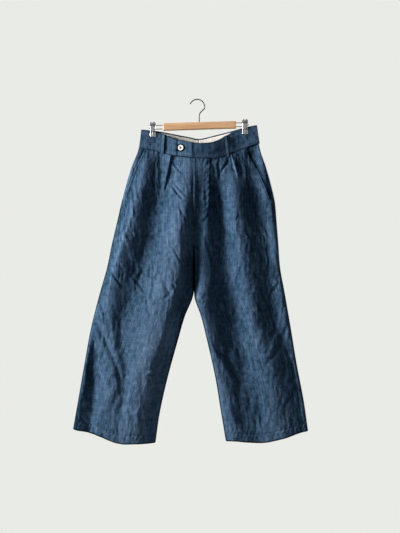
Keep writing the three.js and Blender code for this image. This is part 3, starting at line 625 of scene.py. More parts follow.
# %% Places on a panel
def t_of_share(share):
    """Share t at a share of a row's width, above the fly's end: the cosine in the row, undone."""
    return np.arccos(np.clip(1 - share, -1, 1)) * 2 / math.pi


def t_of_inset(side, z, inset):
    """Share t at which a place lies a distance in from the outseam, above the fly's end."""
    return t_of_share(inset / np.abs(outseam_x(side, z) - CENTRE_X))


def mouth_inset(side, z):
    """Distance of the slanted pocket mouth from the outseam."""
    top = seam_z(FRONT, outseam_x(side, -160))
    start, end = POCKET_MOUTH[side]
    return lerp(start, end, np.clip((top - z) / (top - POCKET_END), 0, 1))


# %% [markdown]
# ## From arrays to a mesh
# Every cloth piece is a closed wall: two skins on either side of a middle surface, joined round the
# rim. Its faces are numbered by array arithmetic, and turned round if the enclosed volume comes out
# negative, so that they always point outwards. The cloth's own length and width become its UV map,
# in metres, so the weave follows the cut. A point attribute named tone carries painted shade and
# painted highlights along seams, edges, layers and loops, and follows the height of the folds.

# %% Mesh from arrays
PIECES = {}


def as_object(name, vertices, faces, uv=None, tone=None):
    """New object from vertices in millimetres and faces of vertex numbers."""
    mesh = bpy.data.meshes.new(name)
    mesh.from_pydata((np.asarray(vertices) * MM).tolist(), [], faces)
    corner = np.empty(len(mesh.loops), np.int32)
    mesh.loops.foreach_get("vertex_index", corner)
    if uv is not None:
        layer = mesh.uv_layers.new(name="cut")
        layer.data.foreach_set("uv", (np.asarray(uv) * MM)[corner].astype(np.float32).ravel())
    if tone is not None:
        values = mesh.attributes.new("tone", "FLOAT", "POINT")
        values.data.foreach_set("value", np.asarray(tone, np.float32).ravel())
    mesh.polygons.foreach_set("use_smooth", np.ones(len(mesh.polygons), bool))
    mesh.update()
    made = in_scene(name, mesh)
    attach(made, "root")
    PIECES[name] = made
    return made


# %% Grids, their faces and their normals
def outward(vertices, quads, caps=(), middle=None):
    """Lists of the quads and then the caps, all turned round if the volume inside is negative. Each
    quad adds the product of its first corner with the cross products of the rest, all measured from
    a middle: that of all vertices, or one for each quad."""
    middle = vertices.mean(0) if middle is None else middle
    a, b, c, d = (vertices[quads[:, k]] - middle for k in range(4))
    faces = quads.tolist() + np.asarray(caps, int).tolist()
    inside_out = np.sum(a * np.cross(b, c)) + np.sum(a * np.cross(c, d)) < 0
    return [face[::-1] for face in faces] if inside_out else faces


def shares(rows, columns):
    """Shares from 0 to 1 down and across a grid."""
    return np.meshgrid(np.linspace(0, 1, rows), np.linspace(0, 1, columns), indexing="ij")


def grid_normals(points):
    """Unit normals of a grid of points: the cross product of its differences both ways."""
    normal = np.cross(np.gradient(points, axis=0), np.gradient(points, axis=1))
    length = np.linalg.norm(normal, axis=-1, keepdims=True)
    return normal / np.maximum(length, 1e-9)


def face_normals(points, face, columns=None):
    """Normals of a grid, turned so that those of its first columns, or all, point out of that face."""
    normal = grid_normals(points)
    return normal * np.sign(np.sum(normal[:, :columns, 1] * face))


def grid_quads(rows, columns, around=False):
    """Corner numbers of the faces of a grid; around joins the last column to the first."""
    wrap = columns if around else columns - 1
    j, i = np.meshgrid(np.arange(rows - 1), np.arange(wrap), indexing="ij")
    k = (i + 1) % columns
    return np.stack([j * columns + i, (j + 1) * columns + i, (j + 1) * columns + k, j * columns + k], -1)


# %% Closed walls
def wall(name, middle, thickness, uv, tone=None, normals=None):
    """Closed wall of a thickness round a middle grid of points."""
    rows, columns = middle.shape[:2]
    normal = grid_normals(middle) if normals is None else normals
    half = np.broadcast_to(np.asarray(thickness, float) / 2, (rows, columns))[..., None]
    skins = np.concatenate([(middle + normal * half), (middle - normal * half)]).reshape(-1, 3)
    count = rows * columns
    face = grid_quads(rows, columns).reshape(-1, 4)
    border = np.concatenate([
        np.arange(columns), np.arange(1, rows) * columns + columns - 1,
        np.arange(columns - 2, -1, -1) + (rows - 1) * columns, np.arange(rows - 2, 0, -1) * columns,
    ])
    following = np.roll(border, -1)
    rim = np.stack([border, following, following + count, border + count], -1)
    faces = outward(skins, np.concatenate([face, face[:, ::-1] + count, rim]))
    uv = np.broadcast_to(uv, (rows, columns, 2)).reshape(-1, 2)
    tone = np.full((rows, columns), 0.5) if tone is None else np.broadcast_to(tone, (rows, columns))
    return as_object(name, skins, faces, np.concatenate([uv, uv]), np.concatenate([tone, tone]))


def cloth(name, middle, thickness, uv, tone=None, normals=None):
    """Wall of cloth. Half the area of its faces is about one side's: the area of its cut."""
    made = wall(f"cloth_{name}", middle, thickness, uv, tone, normals)
    return made


def lengths(points, axis):
    """Length run along a grid's rows or columns, from its first point."""
    steps = np.linalg.norm(np.diff(points, axis=axis), axis=-1)
    zero = np.zeros_like(np.take(steps, [0], axis=axis))
    return np.cumsum(np.concatenate([zero, steps], axis=axis), axis=axis)


# %% Tubes, and several parts as one
def tube(path, radius, sides=16):
    """Round wire along a path: a ring across each point of it, in a frame whose first axis is the
    part of Y that is square to the path, and a flat face at each end."""
    path = np.asarray(path, float)
    tangent = np.gradient(path, axis=0)
    tangent /= np.linalg.norm(tangent, axis=1, keepdims=True)
    side_way = np.array([0.0, 1.0, 0.0])
    across = side_way - tangent * (tangent @ side_way)[:, None]
    across /= np.linalg.norm(across, axis=1, keepdims=True)
    up = np.cross(tangent, across)
    radii = np.broadcast_to(np.asarray(radius, float), (len(path),))
    turn = np.linspace(0, 2 * math.pi, sides, endpoint=False)
    ring = np.cos(turn)[None, :, None] * across[:, None] + np.sin(turn)[None, :, None] * up[:, None]
    vertices = (path[:, None] + radii[:, None, None] * ring).reshape(-1, 3)
    quads = grid_quads(len(path), sides, around=True).reshape(-1, 4)
    caps = [np.arange(sides)[::-1], np.arange(len(vertices) - sides, len(vertices))]
    uv = np.stack([np.repeat(lengths(path, 0), sides), np.tile(turn * 2, len(path))], -1)
    return vertices, outward(vertices, quads, caps), uv


def join(name, parts):
    """One object from several sets of vertices, faces and UVs."""
    vertices, faces, uvs = zip(*parts)
    starts = np.cumsum([0] + [len(part) for part in vertices])
    moved = [[k + start for k in face] for part, start in zip(faces, starts.tolist()) for face in part]
    return as_object(name, np.concatenate(vertices), moved, np.concatenate(uvs))


# %% [markdown]
# ## The four leg panels
# The front panels are cut away along the slanted pocket mouth, so their rows start further in there.
# The rows and columns of the fronts are about two to three millimetres apart, fine enough for every
# crease. The backs have fewer and softer creases, so theirs are three to four millimetres apart.

# %% Grid and tone of the leg panels
GRID = {FRONT: (330, 128), BACK: (240, 90)}  # rows and columns of points


def panel_grid(side, face):
    """Parameters of a panel's grid. On the front, t starts at the pocket mouth and the shift dies
    out towards the middle as a square."""
    v, across = shares(*GRID[face])
    if face == BACK:
        return across, v
    height = surface(side, face, np.zeros(len(v)), v[:, 0])[:, 2]
    mouth = smoothstep(height, POCKET_END - POCKET_TACK, POCKET_END + 1)
    start = t_of_inset(side, height, mouth_inset(side, height)) * mouth
    return across + start[:, None] * (1 - across) ** 2, v


PAINTED_SIDE_SHADE = np.array([  # painted shade on the right front by its outseam: height, how much, how wide
    (-150, 0.2, 50), (-272, 0.26, 60), (-416, 0.22, 38), (-832, 0.2, 38), (-960, 0.5, 38),
    (-1100, 0.55, 38),
], float)
PAINTED_EDGE_SHADOW = 5.5  # painted shadow along the side seams, inseams and hems is this wide


def panel_tone_painted_light(side, face, points):
    """Tone of a panel: half where the cloth is plain, with painted shadow along the outseams, inseams and
    hems, painted shade along the right front's outseam and by the fly, a painted highlight and shadow
    at each pocket mouth, and a little lighter on the folds' crests and darker in their troughs."""
    x, z = points[..., 0], points[..., 2]
    edge = np.abs(x - outseam_x(side, z))
    # painted shadow along the outseam
    tone = 0.5 - 0.95 * (1 - smoothstep(edge, 1.0, 1.15 * PAINTED_EDGE_SHADOW))
    # painted shade on the right front along its outseam
    if side == RIGHT and face == FRONT:
        depth, reach = (along(PAINTED_SIDE_SHADE[:, 0], PAINTED_SIDE_SHADE[:, column], z) for column in (1, 2))
        tone -= depth * (1 - smoothstep(edge, 6, reach))
    tube = tube_share(z)
    inner = np.abs(x - inner_x(side, z))
    # painted shadow along the inseam
    tone -= 0.8 * (1 - smoothstep(inner, 1.0, PAINTED_EDGE_SHADOW)) * tube
    share = (x - outseam_x(side, z)) / (inner_x(side, z) - outseam_x(side, z))
    # painted shadow along the hem
    tone -= 0.7 * (1 - smoothstep(z - hem_z(side, share), 1.0, PAINTED_EDGE_SHADOW))
    tone += 0.012 * np.clip(folds(side, face, x, z), -9, 9)
    if face == FRONT:
        in_fly = smoothstep(z, FLY_END - 10, FLY_END)
        # painted shadow under the left front's lap, and painted shade along the J of stitches
        tone -= 0.4 * bell(x - CENTRE_X, 2.0) * in_fly * (side == RIGHT)
        tone -= 0.3 * bell(x - fly_line_x(z), 2.0) * in_fly * (side == LEFT)
        # a painted highlight on the pocket mouth's edge and a painted shadow just inside it
        inset = np.abs(outseam_x(side, z) - x) - mouth_inset(side, z)
        at_mouth = smoothstep(z, POCKET_END - POCKET_TACK, POCKET_END)
        tone += at_mouth * (0.22 * bell(inset - 2.5, 2.2) - 0.3 * bell(inset - 7.5, 1.6))
    return np.clip(tone, -0.6, 1)


# %% Leg panels
for side in SIDES:
    for face in (FRONT, BACK):
        t, v = panel_grid(side, face)
        points = surface(side, face, t, v)
        row = lengths(points, 1)
        uv = np.stack([row - row[:, -1:], -points[..., 2]], -1)
        made = cloth(f"{FACE[face]}_{SIDE[side]}", points, PANEL_WALL, uv,
                     panel_tone_painted_light(side, face, points), face_normals(points, face))

# %% [markdown]
# ## The waistband
# The band is a stiffened double strip, folded round at each side and sewn along its lower edge. The
# left half runs on past the centre as a tab and laps over the right half. It is a wall round the path
# of the band, a little thicker between its rows of stitches than at its edges.

# %% Sizes of the band, its tab, button and loops
TAB_END, TAB_START, UNDERLAP_END = -63.0, -18.0, -21.0
TAB_LINE = -15.0  # a row of stitches across the band, where the tab begins
# the button: place, radius, half its thickness, how far each hole is off the middle, stand-off
BUTTON = {"x": -51.8, "z": -155.5, "radius": 8.75, "half": 1.7, "hole": 1.75, "gap": 0.6}
LOOPS = {
    # face, x at the top, x at the foot
    "front_right": (FRONT, -107.0, -112.0), "front_left": (FRONT, 92.0, 99.0),
    "back_right": (BACK, -104.0, -108.0), "back_centre": (BACK, 6.0, 6.0), "back_left": (BACK, 112.0, 116.0),
}
LOOP_WIDTH, LOOP_WALL, LOOP_ARCH = 11.0, 1.7, 2.6
BAND_ROWS = 26  # rows of points down the band; each goes along the front, round the side and back
FRONT_STEPS = {RIGHT: 75, LEFT: 100}
FOLD_STEPS, BACK_STEPS = 12, 70


# %% Path and tone of the band
def tab_lap(x):
    """The left half's extra stand-off where its tab crosses the right half."""
    return (BAND + GAP) * smoothstep(-x, -TAB_START - 12, -TAB_START)


def band_point(face, x, k, lap=0.0):
    """Middle of the band on one face, k 0 at its top edge and 1 at the waist seam, with shallow
    waves between the two."""
    z = lerp(top_z(face, x), seam_z(face, x) + WAIST_GAP, k)
    wave = 1.5 * noise(x, z, 51 + face, 26) + 0.7 * noise(x, z, 53 + face, 11)
    wave = wave * np.sin(math.pi * np.clip(k, 0, 1)) * np.minimum(1, np.abs(x - CENTRE_BACK_X) / 20 + 0.4)
    return np.stack(np.broadcast_arrays(x, band_y(face, x) + face * (lap + wave), z), -1)


def band_path(side, k):
    """One row of a half band: along the front, round the side as a half circle, along the back."""
    start = UNDERLAP_END if side == RIGHT else TAB_END
    radius = (BAND_Y[BACK] - BAND_Y[FRONT]) / 2
    apex = outseam_x(side, lerp(*BAND_SIDE, k)) - side * BAND / 2
    turn_x = apex - side * radius
    front_x = np.linspace(start, turn_x, FRONT_STEPS[side], endpoint=False)
    front = band_point(FRONT, front_x, k, tab_lap(front_x) if side == LEFT else 0.0)
    ends = [band_point(face, turn_x, k) for face in (FRONT, BACK)]
    angle = np.linspace(-math.pi / 2, math.pi / 2, FOLD_STEPS)
    middle_y = (BAND_Y[FRONT] + BAND_Y[BACK]) / 2
    fold = np.stack([
        turn_x + side * radius * np.cos(angle), middle_y + radius * np.sin(angle),
        lerp(ends[0][..., 2], ends[1][..., 2], np.linspace(0, 1, FOLD_STEPS)),
    ], -1)
    back_x = np.linspace(turn_x, CENTRE_BACK_X + side * GAP / 2, BACK_STEPS)[1:]
    return np.concatenate([front, fold, band_point(BACK, back_x, k)])


def band_painted_shade_and_seam(side, points):
    """Painted shade where two layers meet: a painted shadow beside the tab's end and beside the belt
    loops' edges, and a painted shadow ring round the button; and a darker line along the row of
    stitches where the tab begins."""
    x, z, on_front = points[..., 0], points[..., 2], points[..., 1] < (BAND_Y[FRONT] + BAND_Y[BACK]) / 2
    ring = np.hypot(x - BUTTON["x"], z - BUTTON["z"]) - BUTTON["radius"] - 1.2
    # left half: painted shadow ring round the button; right half: painted shadow beside the tab's end
    dark = 0.6 * bell(ring, 2.6) if side == LEFT else 0.45 * bell(np.minimum(x - TAB_END + 1.5, 0), 2.2)
    if side == LEFT:
        # painted shade at the tab's end, and the darker line of the tab's row of stitches
        dark = dark + 0.4 * bell(x - TAB_LINE, 1.3) + 0.35 * bell(x - TAB_END, 1.6)
    for face, top, foot in LOOPS.values():
        if face == FRONT:
            # painted shadow beside each front loop's edges
            dark = dark + 0.12 * bell(np.abs(x - (top + foot) / 2) - LOOP_WIDTH / 2 - 1, 1.8)
    return -dark * on_front


# %% Waistband
BAND_PATHS = {}
for side in SIDES:
    levels = np.linspace(0, 1, BAND_ROWS)
    points = BAND_PATHS[side] = np.stack([band_path(side, k) for k in levels])
    normal = face_normals(points, FRONT, FRONT_STEPS[side])
    length, down = lengths(points, 1), lengths(points, 0)
    from_edge = np.minimum(levels, 1 - levels)[:, None] * BAND_HEIGHT
    ends = np.minimum(length, length[:, -1:] - length)
    padding = 1.7 + 0.5 * smoothstep(from_edge, 2, 6) - 0.5 * bell(from_edge - 4, 1.2)
    thickness = padding * np.sqrt(np.clip(np.minimum(from_edge, ends) / 1.6 + 0.25, 0, 1))
    puckers = pucker(length, from_edge - 4, reach=5, height=0.18, pitch=9.0, seed=61)
    # painted shade along the band's edges and ends, a little lighter just inside its rows of stitches, and
    # the band's painted shadows
    tone = 0.45 - 0.3 * bell(from_edge, 2.0) - 0.2 * bell(ends, 2.0)
    tone = tone + 0.1 * bell(from_edge - 8, 5) + band_painted_shade_and_seam(side, points)
    made = cloth(f"waistband_{SIDE[side]}", points + normal * puckers[..., None], thickness,
                 np.stack([length, down], -1), tone, normal)

# %% [markdown]
# ## The pale facing, the pocket facings and the fly facing
# Three sorts of thin inner piece show or must be there: a pale ticking facing inside the back of the
# band, the hip piece behind each slanted mouth, and the facing that the fly's stitches hold.

# %% Band facing
FACING_Y, FACING_INSET, FACING_DROP, FACING_WALL = -0.2, 6.0, 4.8, 0.9

for side in SIDES:
    k = np.linspace(0, 1, 14)[:, None]
    outer = outseam_x(side, lerp(*BAND_SIDE, k[:, 0])) - side * FACING_INSET
    x = np.linspace(outer, CENTRE_BACK_X + side * GAP / 2, 80, axis=-1)
    z = lerp(top_z(BACK, x), seam_z(BACK, x) + WAIST_GAP, k) - FACING_DROP * (1 - 2 * k)
    wave = 0.5 * noise(x, z, 71, 15) * np.sin(math.pi * k)
    points = np.stack([x, FACING_Y + band_bow(BACK, x) + wave - 0.1, z], -1)
    cloth(f"facing_{SIDE[side]}", points, FACING_WALL, np.stack([x, -z], -1))

# %% Pocket facing
THIN = 1.0  # wall of the pocket facings and the fly facing
POCKET_GRID = (70, 26)
PAST_MOUTH = 1.35  # the piece runs on behind the front, to this many widths of the mouth


def pocket_point(side, z_share, across):
    """The hip piece: on the panel's own surface by the outseam, then tucked in behind the mouth.
    across runs from the outseam (0) to the mouth (1) and on past it."""
    top, hem = side_top(side), hem_z(side, 0)
    v = z_share * (top - POCKET_END + POCKET_TACK) / (top - hem)
    height = lerp(top, hem, v)
    start = t_of_inset(side, height, mouth_inset(side, height))
    t = start * across
    points = surface(side, FRONT, t, v)
    normal = normals_of(side, FRONT, np.maximum(t, 0.01), v)
    depth = (PANEL_WALL / 2 + GAP + THIN / 2) * smoothstep(across, 0.1, 0.6)
    return points - normal * depth[..., None]


for side in SIDES:
    z_share, across = shares(*POCKET_GRID)
    across = PAST_MOUTH * across
    points = pocket_point(side, z_share, across)
    row = lengths(points, 1)
    # painted shadow towards the mouth and behind the front, and a painted shadow along its outseam edge
    tone = 0.5 - 0.5 * smoothstep(across, 0.7, 0.95) - 0.4 * bell(row, 3.2)
    cloth(f"pocket_{SIDE[side]}", points, THIN, np.stack([row, -points[..., 2]], -1), tone)

# %% Fly facing
FLY_GRID = (70, 18)
FLY_TOP = -186.0
FLY_INSIDE = 5.0  # the facing ends this far inside the row of stitches


def on_front_left(x, z):
    """Shares t and v at which the left front passes a place near the fly: v from the heights of the
    seam and the hem, and t from its share of the row's width."""
    v = (z - seam_z(FRONT, x)) / (hem_z(LEFT, 1) - seam_z(FRONT, x))
    outer, inner, _ = row_ends(LEFT, FRONT, v)
    return t_of_share((x - outer) / (inner - outer)), v


down, across = shares(*FLY_GRID)
z = lerp(FLY_TOP, FLY_END, down)
x = lerp(fly_line_x(z) - FLY_INSIDE, CENTRE_X + 0.5, across)
t, v = on_front_left(x, z)
points = surface(LEFT, FRONT, t, v)
points -= normals_of(LEFT, FRONT, np.minimum(t, 0.995), v) * (PANEL_WALL / 2 + 0.5 + THIN / 2)
cloth("fly", points, THIN, np.stack([x, -z], -1))

# %% [markdown]
# ## Belt loops
# A loop is a strip folded in three and pressed, so its section is a flat pillow. It is carried along
# an arch over the band: down from the top edge, out, and back in to the waist seam.

# %% Belt loops
LOOP_START, LOOP_END = 0.02, 1.06  # ways down the band
LOOP_GRID = (44, 13)

for name, (face, top, foot) in LOOPS.items():
    share, across = shares(*LOOP_GRID)
    across = 2 * across - 1
    k = lerp(LOOP_START, LOOP_END, share)
    middle = lerp(top, foot, k)
    slope = (band_y(face, middle + 1) - band_y(face, middle - 1)) / 2
    lift = BAND / 2 + 0.1 + LOOP_WALL / 2 + LOOP_ARCH * np.sin(math.pi * share) ** 0.5
    z = lerp(top_z(face, middle), seam_z(face, middle), k)
    half = LOOP_WIDTH / 2 * (1 + 0.05 * bell(share, 0.06) + 0.05 * bell(share - 1, 0.06))
    x = middle + across * half
    y = band_y(face, middle) + face * lift + slope * across * half - face * 0.35 * across**2
    thickness = LOOP_WALL * np.sqrt(np.clip(1.08 - np.abs(across) ** 6, 0.12, 1))
    thickness -= 0.35 * bell(np.abs(across) - 0.68, 0.1)
    # painted highlight down the loop's middle, painted shadow along its sides and at its ends
    tone = 0.74 - 0.62 * bell(np.abs(across) - 1, 0.3) - 0.2 * (bell(share - 1, 0.04) + bell(share, 0.04))
    cloth(f"loop_{name}", np.stack([x, y, z], -1), thickness, np.stack([x, -z], -1), tone)
print("loops:", len(LOOPS))

# %% [markdown]
# ## Stitches
# Thread shows as short bright dashes that dip into the cloth at both ends. Each stitch is a spindle
# of four rings. All the stitches of a row are worked out at once from points at even distances along
# a line on the cloth, and a piece's rows are joined into one mesh.

# %% Stitch maker
STITCH, PITCH, THREAD, LIFT = 3.0, 3.9, 0.34, 0.1  # a stitch, from one to the next, radius, stand-off
SPINDLE = np.array([(0.0, 0.35), (0.2, 1.0), (0.8, 1.0), (1.0, 0.35)])  # way along, share of radius
SPINDLE_SIDES = 6


def spindles(line, normal):
    """Vertices, faces and UVs of stitches along a line that lies on cloth with those normals."""
    way = lengths(line, 0)
    starts = np.arange(PITCH / 2, way[-1] - STITCH, PITCH)

    def at(values, place):
        """Values along the line, read between its points."""
        return np.stack([np.interp(place, way, values[:, axis]) for axis in range(3)], -1)

    first, last = at(line, starts), at(line, starts + STITCH)
    out = at(normal, starts + STITCH / 2)
    out /= np.linalg.norm(out, axis=1, keepdims=True)
    first, last = first + out * LIFT, last + out * LIFT
    across = np.cross(last - first, out)
    across /= np.linalg.norm(across, axis=1, keepdims=True)
    turn = np.linspace(0, 2 * math.pi, SPINDLE_SIDES, endpoint=False)
    ring = np.cos(turn)[:, None] * out[:, None, None] + np.sin(turn)[:, None] * across[:, None, None]
    place = first[:, None] + (last - first)[:, None] * SPINDLE[:, 0][None, :, None]
    vertices = place[:, :, None] + THREAD * SPINDLE[:, 1][None, :, None, None] * ring
    each = len(SPINDLE) * SPINDLE_SIDES
    number = each * np.arange(len(starts))[:, None, None]
    quads = (grid_quads(len(SPINDLE), SPINDLE_SIDES, around=True).reshape(1, -1, 4) + number).reshape(-1, 4)
    ring = np.arange(SPINDLE_SIDES)
    caps = (np.stack([ring[::-1], each - SPINDLE_SIDES + ring]) + number).reshape(-1, SPINDLE_SIDES)
    flat = vertices.reshape(-1, 3)
    middle = np.repeat(first, each, axis=0)[quads[:, 0]]
    return flat, outward(flat, quads, caps, middle), np.zeros((len(flat), 2))


def on_panel(side, face, t, v):
    """A line on a panel's outer skin, and the normals along it."""
    t, v = np.broadcast_arrays(np.asarray(t, float), np.asarray(v, float))
    normal = normals_of(side, face, np.clip(t, 0.004, 0.996), v)
    return surface(side, face, t, v) + normal * PANEL_WALL / 2, normal


BAND_SKIN = 0.95  # the stitches lie this far from the band's middle


def on_band(side, row):
    """A line along a row of a half band's outer skin, short of its ends, and its normals."""
    points = BAND_PATHS[side]
    normal = face_normals(points, FRONT, FRONT_STEPS[side])
    return points[row, 1:-1] + normal[row, 1:-1] * BAND_SKIN, normal[row, 1:-1]


# %% Rows of stitches
HEM_POINTS, MOUTH_POINTS, J_POINTS, EDGE_POINTS = 160, 60, 120, 90  # places along each kind of row
MOUTH_ROWS = (2.0, 7.5)  # the two rows beside a pocket mouth, in from its edge


def hem_row(side, face):
    """The row round a hem, at the hem's depth as a share of the panel's height at the same t."""
    t = np.linspace(0.01, 0.99, HEM_POINTS)
    hem, seam = (surface(side, face, t, np.full(HEM_POINTS, end))[:, 2] for end in (1.0, 0.0))
    return on_panel(side, face, t, 1 - HEM_DEPTH / (seam - hem))


def mouth_row(side, inset):
    """A row along a pocket mouth, an inset further in than its edge."""
    top = side_top(side)
    height = lerp(top, POCKET_END, np.linspace(0.02, 0.97, MOUTH_POINTS))
    t = t_of_inset(side, height, mouth_inset(side, height) + inset)
    return on_panel(side, FRONT, t, (top - height) / (top - hem_z(side, 0)))


def tab_row():
    """The row down the tab, close to its end. The tab faces forward and a little to the left."""
    normal = np.tile(np.array([0.2, -1.0, 0.0]) / math.hypot(0.2, 1), (BAND_ROWS - 6, 1))
    return BAND_PATHS[LEFT][3:-3, 2] + normal * BAND_SKIN, normal


def fly_rows():
    """The J, and the row down the front's edge beside it."""
    knots, dense = np.linspace(0, 1, len(FLY_LINE)), np.linspace(0, 1, J_POINTS)
    j_line = on_front_left(along(knots, FLY_LINE[:, 0], dense), along(knots, FLY_LINE[:, 1], dense))
    down = np.linspace(FLY_TOP - 2, FLY_END, EDGE_POINTS)
    edge = on_front_left(np.full(EDGE_POINTS, CENTRE_X + 3.0), down)
    return [on_panel(LEFT, FRONT, *j_line), on_panel(LEFT, FRONT, *edge)]


for side in SIDES:
    rows = [hem_row(side, face) for face in (FRONT, BACK)]
    rows += [on_band(side, row) for row in (2, BAND_ROWS - 3)]
    rows += [tab_row()] if side == LEFT else []
    rows += [mouth_row(side, inset) for inset in MOUTH_ROWS]
    rows += fly_rows() if side == LEFT else []
    made = join(f"stitches_{SIDE[side]}", [spindles(*row) for row in rows])
    print(made.name, "triangles:", sum(len(p.vertices) - 2 for p in made.data.polygons))

# %% [markdown]
# ## Button
# The button is turned, not flat: a rim, a dished middle and four holes. It is a surface of two
# parameters, the way along its outline and the turn round its axis. The holes are deep narrow wells
# in that surface, and dark thread fills them.

# %% The button's outline and its rings
BUTTON_PROFILE = np.array([  # radius and height, from the middle of the face round to the back
    (0, -0.55), (1.5, -0.55), (3.2, -0.62), (4.6, -0.95), (5.6, -1.4), (6.6, -1.68), (7.5, -1.66),
    (8.3, -1.25), (8.72, -0.5), (8.72, 0.3), (8.3, 1.1), (7.3, 1.6), (5.0, 1.7), (0, 1.7),
])


def on_button(points):
    """From the button's own frame, face towards -Y, to its place on the tab, turned to its slope."""
    x = BUTTON["x"]
    slope = (band_y(FRONT, x + 5) - band_y(FRONT, x - 5)) / 10
    angle = math.atan(slope)
    stand = tab_lap(x) + BAND / 2 + BUTTON["gap"] + BUTTON["half"]
    turned = np.stack([
        points[..., 0] * math.cos(angle) - points[..., 1] * math.sin(angle),
        points[..., 0] * math.sin(angle) + points[..., 1] * math.cos(angle), points[..., 2],
    ], -1)
    return turned + np.array([x, float(band_y(FRONT, x)) - stand, BUTTON["z"]])


def lathe(profile, steps, rounds):
    """A smooth outline of radius and height turned round the Y axis: a ring of points for each step."""
    knots = np.linspace(0, 1, len(profile))
    way = np.linspace(0, 1, steps)
    radius, height = along(knots, profile[:, 0], way), along(knots, profile[:, 1], way)
    turn = np.linspace(0, 2 * math.pi, rounds, endpoint=False)
    x = radius[:, None] * np.cos(turn)
    z = radius[:, None] * np.sin(turn)
    return np.stack([x, np.broadcast_to(height[:, None], x.shape), z], -1)


def closed_rings(points):
    """Vertices and faces of rings whose first and last ring shrink to a point each."""
    rings, rounds = points.shape[:2]
    inner = points[1:-1].reshape(-1, 3)
    vertices = np.concatenate([inner, points[0, :1], points[-1, :1]])
    quads = grid_quads(rings - 2, rounds, around=True).reshape(-1, 4)
    following = (np.arange(rounds) + 1) % rounds
    last = (rings - 3) * rounds
    first_cap = np.stack([np.full(rounds, len(inner)), np.arange(rounds), following], -1)
    last_cap = np.stack([np.full(rounds, len(inner) + 1), last + following, last + np.arange(rounds)], -1)
    return vertices, outward(vertices, quads, np.concatenate([first_cap, last_cap]))


# %% Button
rings = lathe(BUTTON_PROFILE, steps=90, rounds=96)
wells = sum(bell(np.hypot(rings[..., 0] - sx * BUTTON["hole"], rings[..., 2] - sz * BUTTON["hole"]), 0.75)
            for sx in (-1, 1) for sz in (-1, 1))
rings[..., 1] += np.where(rings[..., 1] < 0, 1.1 * wells, 0)
vertices, faces = closed_rings(rings)
as_object("button_body", on_button(vertices), faces)

# %% Thread through the button
STRAND, SHANK = 0.42, 1.2  # radius of one strand, and of the wound shank behind the button

strand = np.linspace(-1, 1, 13)
threads = []
for sx in (-1, 1):
    for away in (-0.9, -0.3, 0.3, 0.9):
        x = sx * BUTTON["hole"] * (1 - 0.05 * np.abs(strand)) + away
        z = strand * (BUTTON["hole"] + 0.2)
        y = -0.85 - 0.55 * (1 - strand**4) + 0.9 * strand**8
        threads.append(tube(on_button(np.stack([x, y, z], -1)), STRAND, 8))
        threads.append(tube(on_button(np.stack([z, y - 0.12, x], -1)), STRAND, 8))
shank = np.stack([0 * strand, 1.2 + 0.8 * (strand + 1), 0 * strand], -1)
threads.append(tube(on_button(shank), SHANK, 10))
join("thread_button", threads)
print("button at", [round(float(c), 1) for c in on_button(np.zeros(3))])

# %% [markdown]
# ## The hanger
# The hanger is a planed hardwood bar with its long edges rounded, two loops of steel wire that carry
# the clips, and a bent wire hook. It hangs a little out of level, so its pieces are worked out in the
# bar's own frame and turned together.

# %% The bar's frame
BAR = {"x": 7.7, "z": -83.2, "length": 234.0, "height": 24.0, "thickness": 12.0, "edge": 4.5, "end": 1.6}
TILT = math.radians(1.74)


def in_frame(points):
    """From the bar's own frame to its place: a turn about Y, then a shift to the bar's middle."""
    points = np.asarray(points, float)
    x = points[..., 0] * math.cos(TILT) - points[..., 2] * math.sin(TILT) + BAR["x"]
    z = points[..., 0] * math.sin(TILT) + points[..., 2] * math.cos(TILT) + BAR["z"]
    return np.stack([x, points[..., 1], z], -1)


# %% Wooden bar
def rounded_section(half_y, half_z, radius, inset, steps=9):
    """A rectangle with round corners: four quarter circles, each from its own centre. inset draws
    the whole outline in."""
    corners = []
    for n, (sy, sz) in enumerate(((1, 1), (-1, 1), (-1, -1), (1, -1))):
        angle = np.linspace(n, n + 1, steps) * math.pi / 2
        reach = radius - inset
        corners.append(np.stack([sy * (half_y - radius) + reach * np.cos(angle),
                                 sz * (half_z - radius) + reach * np.sin(angle)], -1))
    return np.concatenate(corners)


half = BAR["length"] / 2
ease = np.linspace(0, 1, 7)
from_end = BAR["end"] * (1 - np.cos(ease * math.pi / 2))
stations = np.concatenate([-half + from_end, np.linspace(-half + BAR["end"], half - BAR["end"], 60)[1:-1],
                           (half - from_end)[::-1]])
depth = np.clip(1 - (half - np.abs(stations)) / BAR["end"], 0, 1)
insets = BAR["end"] * (1 - np.sqrt(1 - depth**2))
sections = np.stack([rounded_section(BAR["thickness"] / 2, BAR["height"] / 2, BAR["edge"], e)
                     for e in insets])
bar_points = np.concatenate([np.broadcast_to(stations[:, None, None], sections.shape[:2] + (1,)),
                             sections], -1)
count = sections.shape[1]
flat = in_frame(bar_points).reshape(-1, 3)
quads = grid_quads(len(stations), count, around=True).reshape(-1, 4)
caps = [np.arange(count)[::-1], np.arange(len(flat) - count, len(flat))]
as_object("wooden_bar", flat, outward(flat, quads, caps))

# %% Arms and hook
ARM = {"wire": 1.15, "spread": 6.0, "socket": 14.0, "past_clip": 10.6}
CLIPS = {"right": (-149.7, -1), "left": (145.3, 1)}
HOOK = {"wire": 1.75, "radius": 24.0, "stem": 6.7}

for name, (clip_x, arm) in CLIPS.items():
    inside = arm * (BAR["length"] / 2 - ARM["socket"])
    turn_x = clip_x + arm * (ARM["past_clip"] - ARM["spread"])
    angle = np.linspace(math.pi / 2, -math.pi / 2, 24)
    straight = np.linspace(inside, turn_x, 16, endpoint=False)
    bend = np.stack([turn_x + arm * ARM["spread"] * np.cos(angle), 0 * angle, ARM["spread"] * np.sin(angle)],
                    -1)
    upper = np.stack([straight, 0 * straight, np.full(16, ARM["spread"])], -1)
    lower = (upper * np.array([1, 1, -1]))[::-1]
    path_points = in_frame(np.concatenate([upper, bend, lower]))
    join(f"arm_wire_{name}", [tube(path_points, ARM["wire"], 14)])

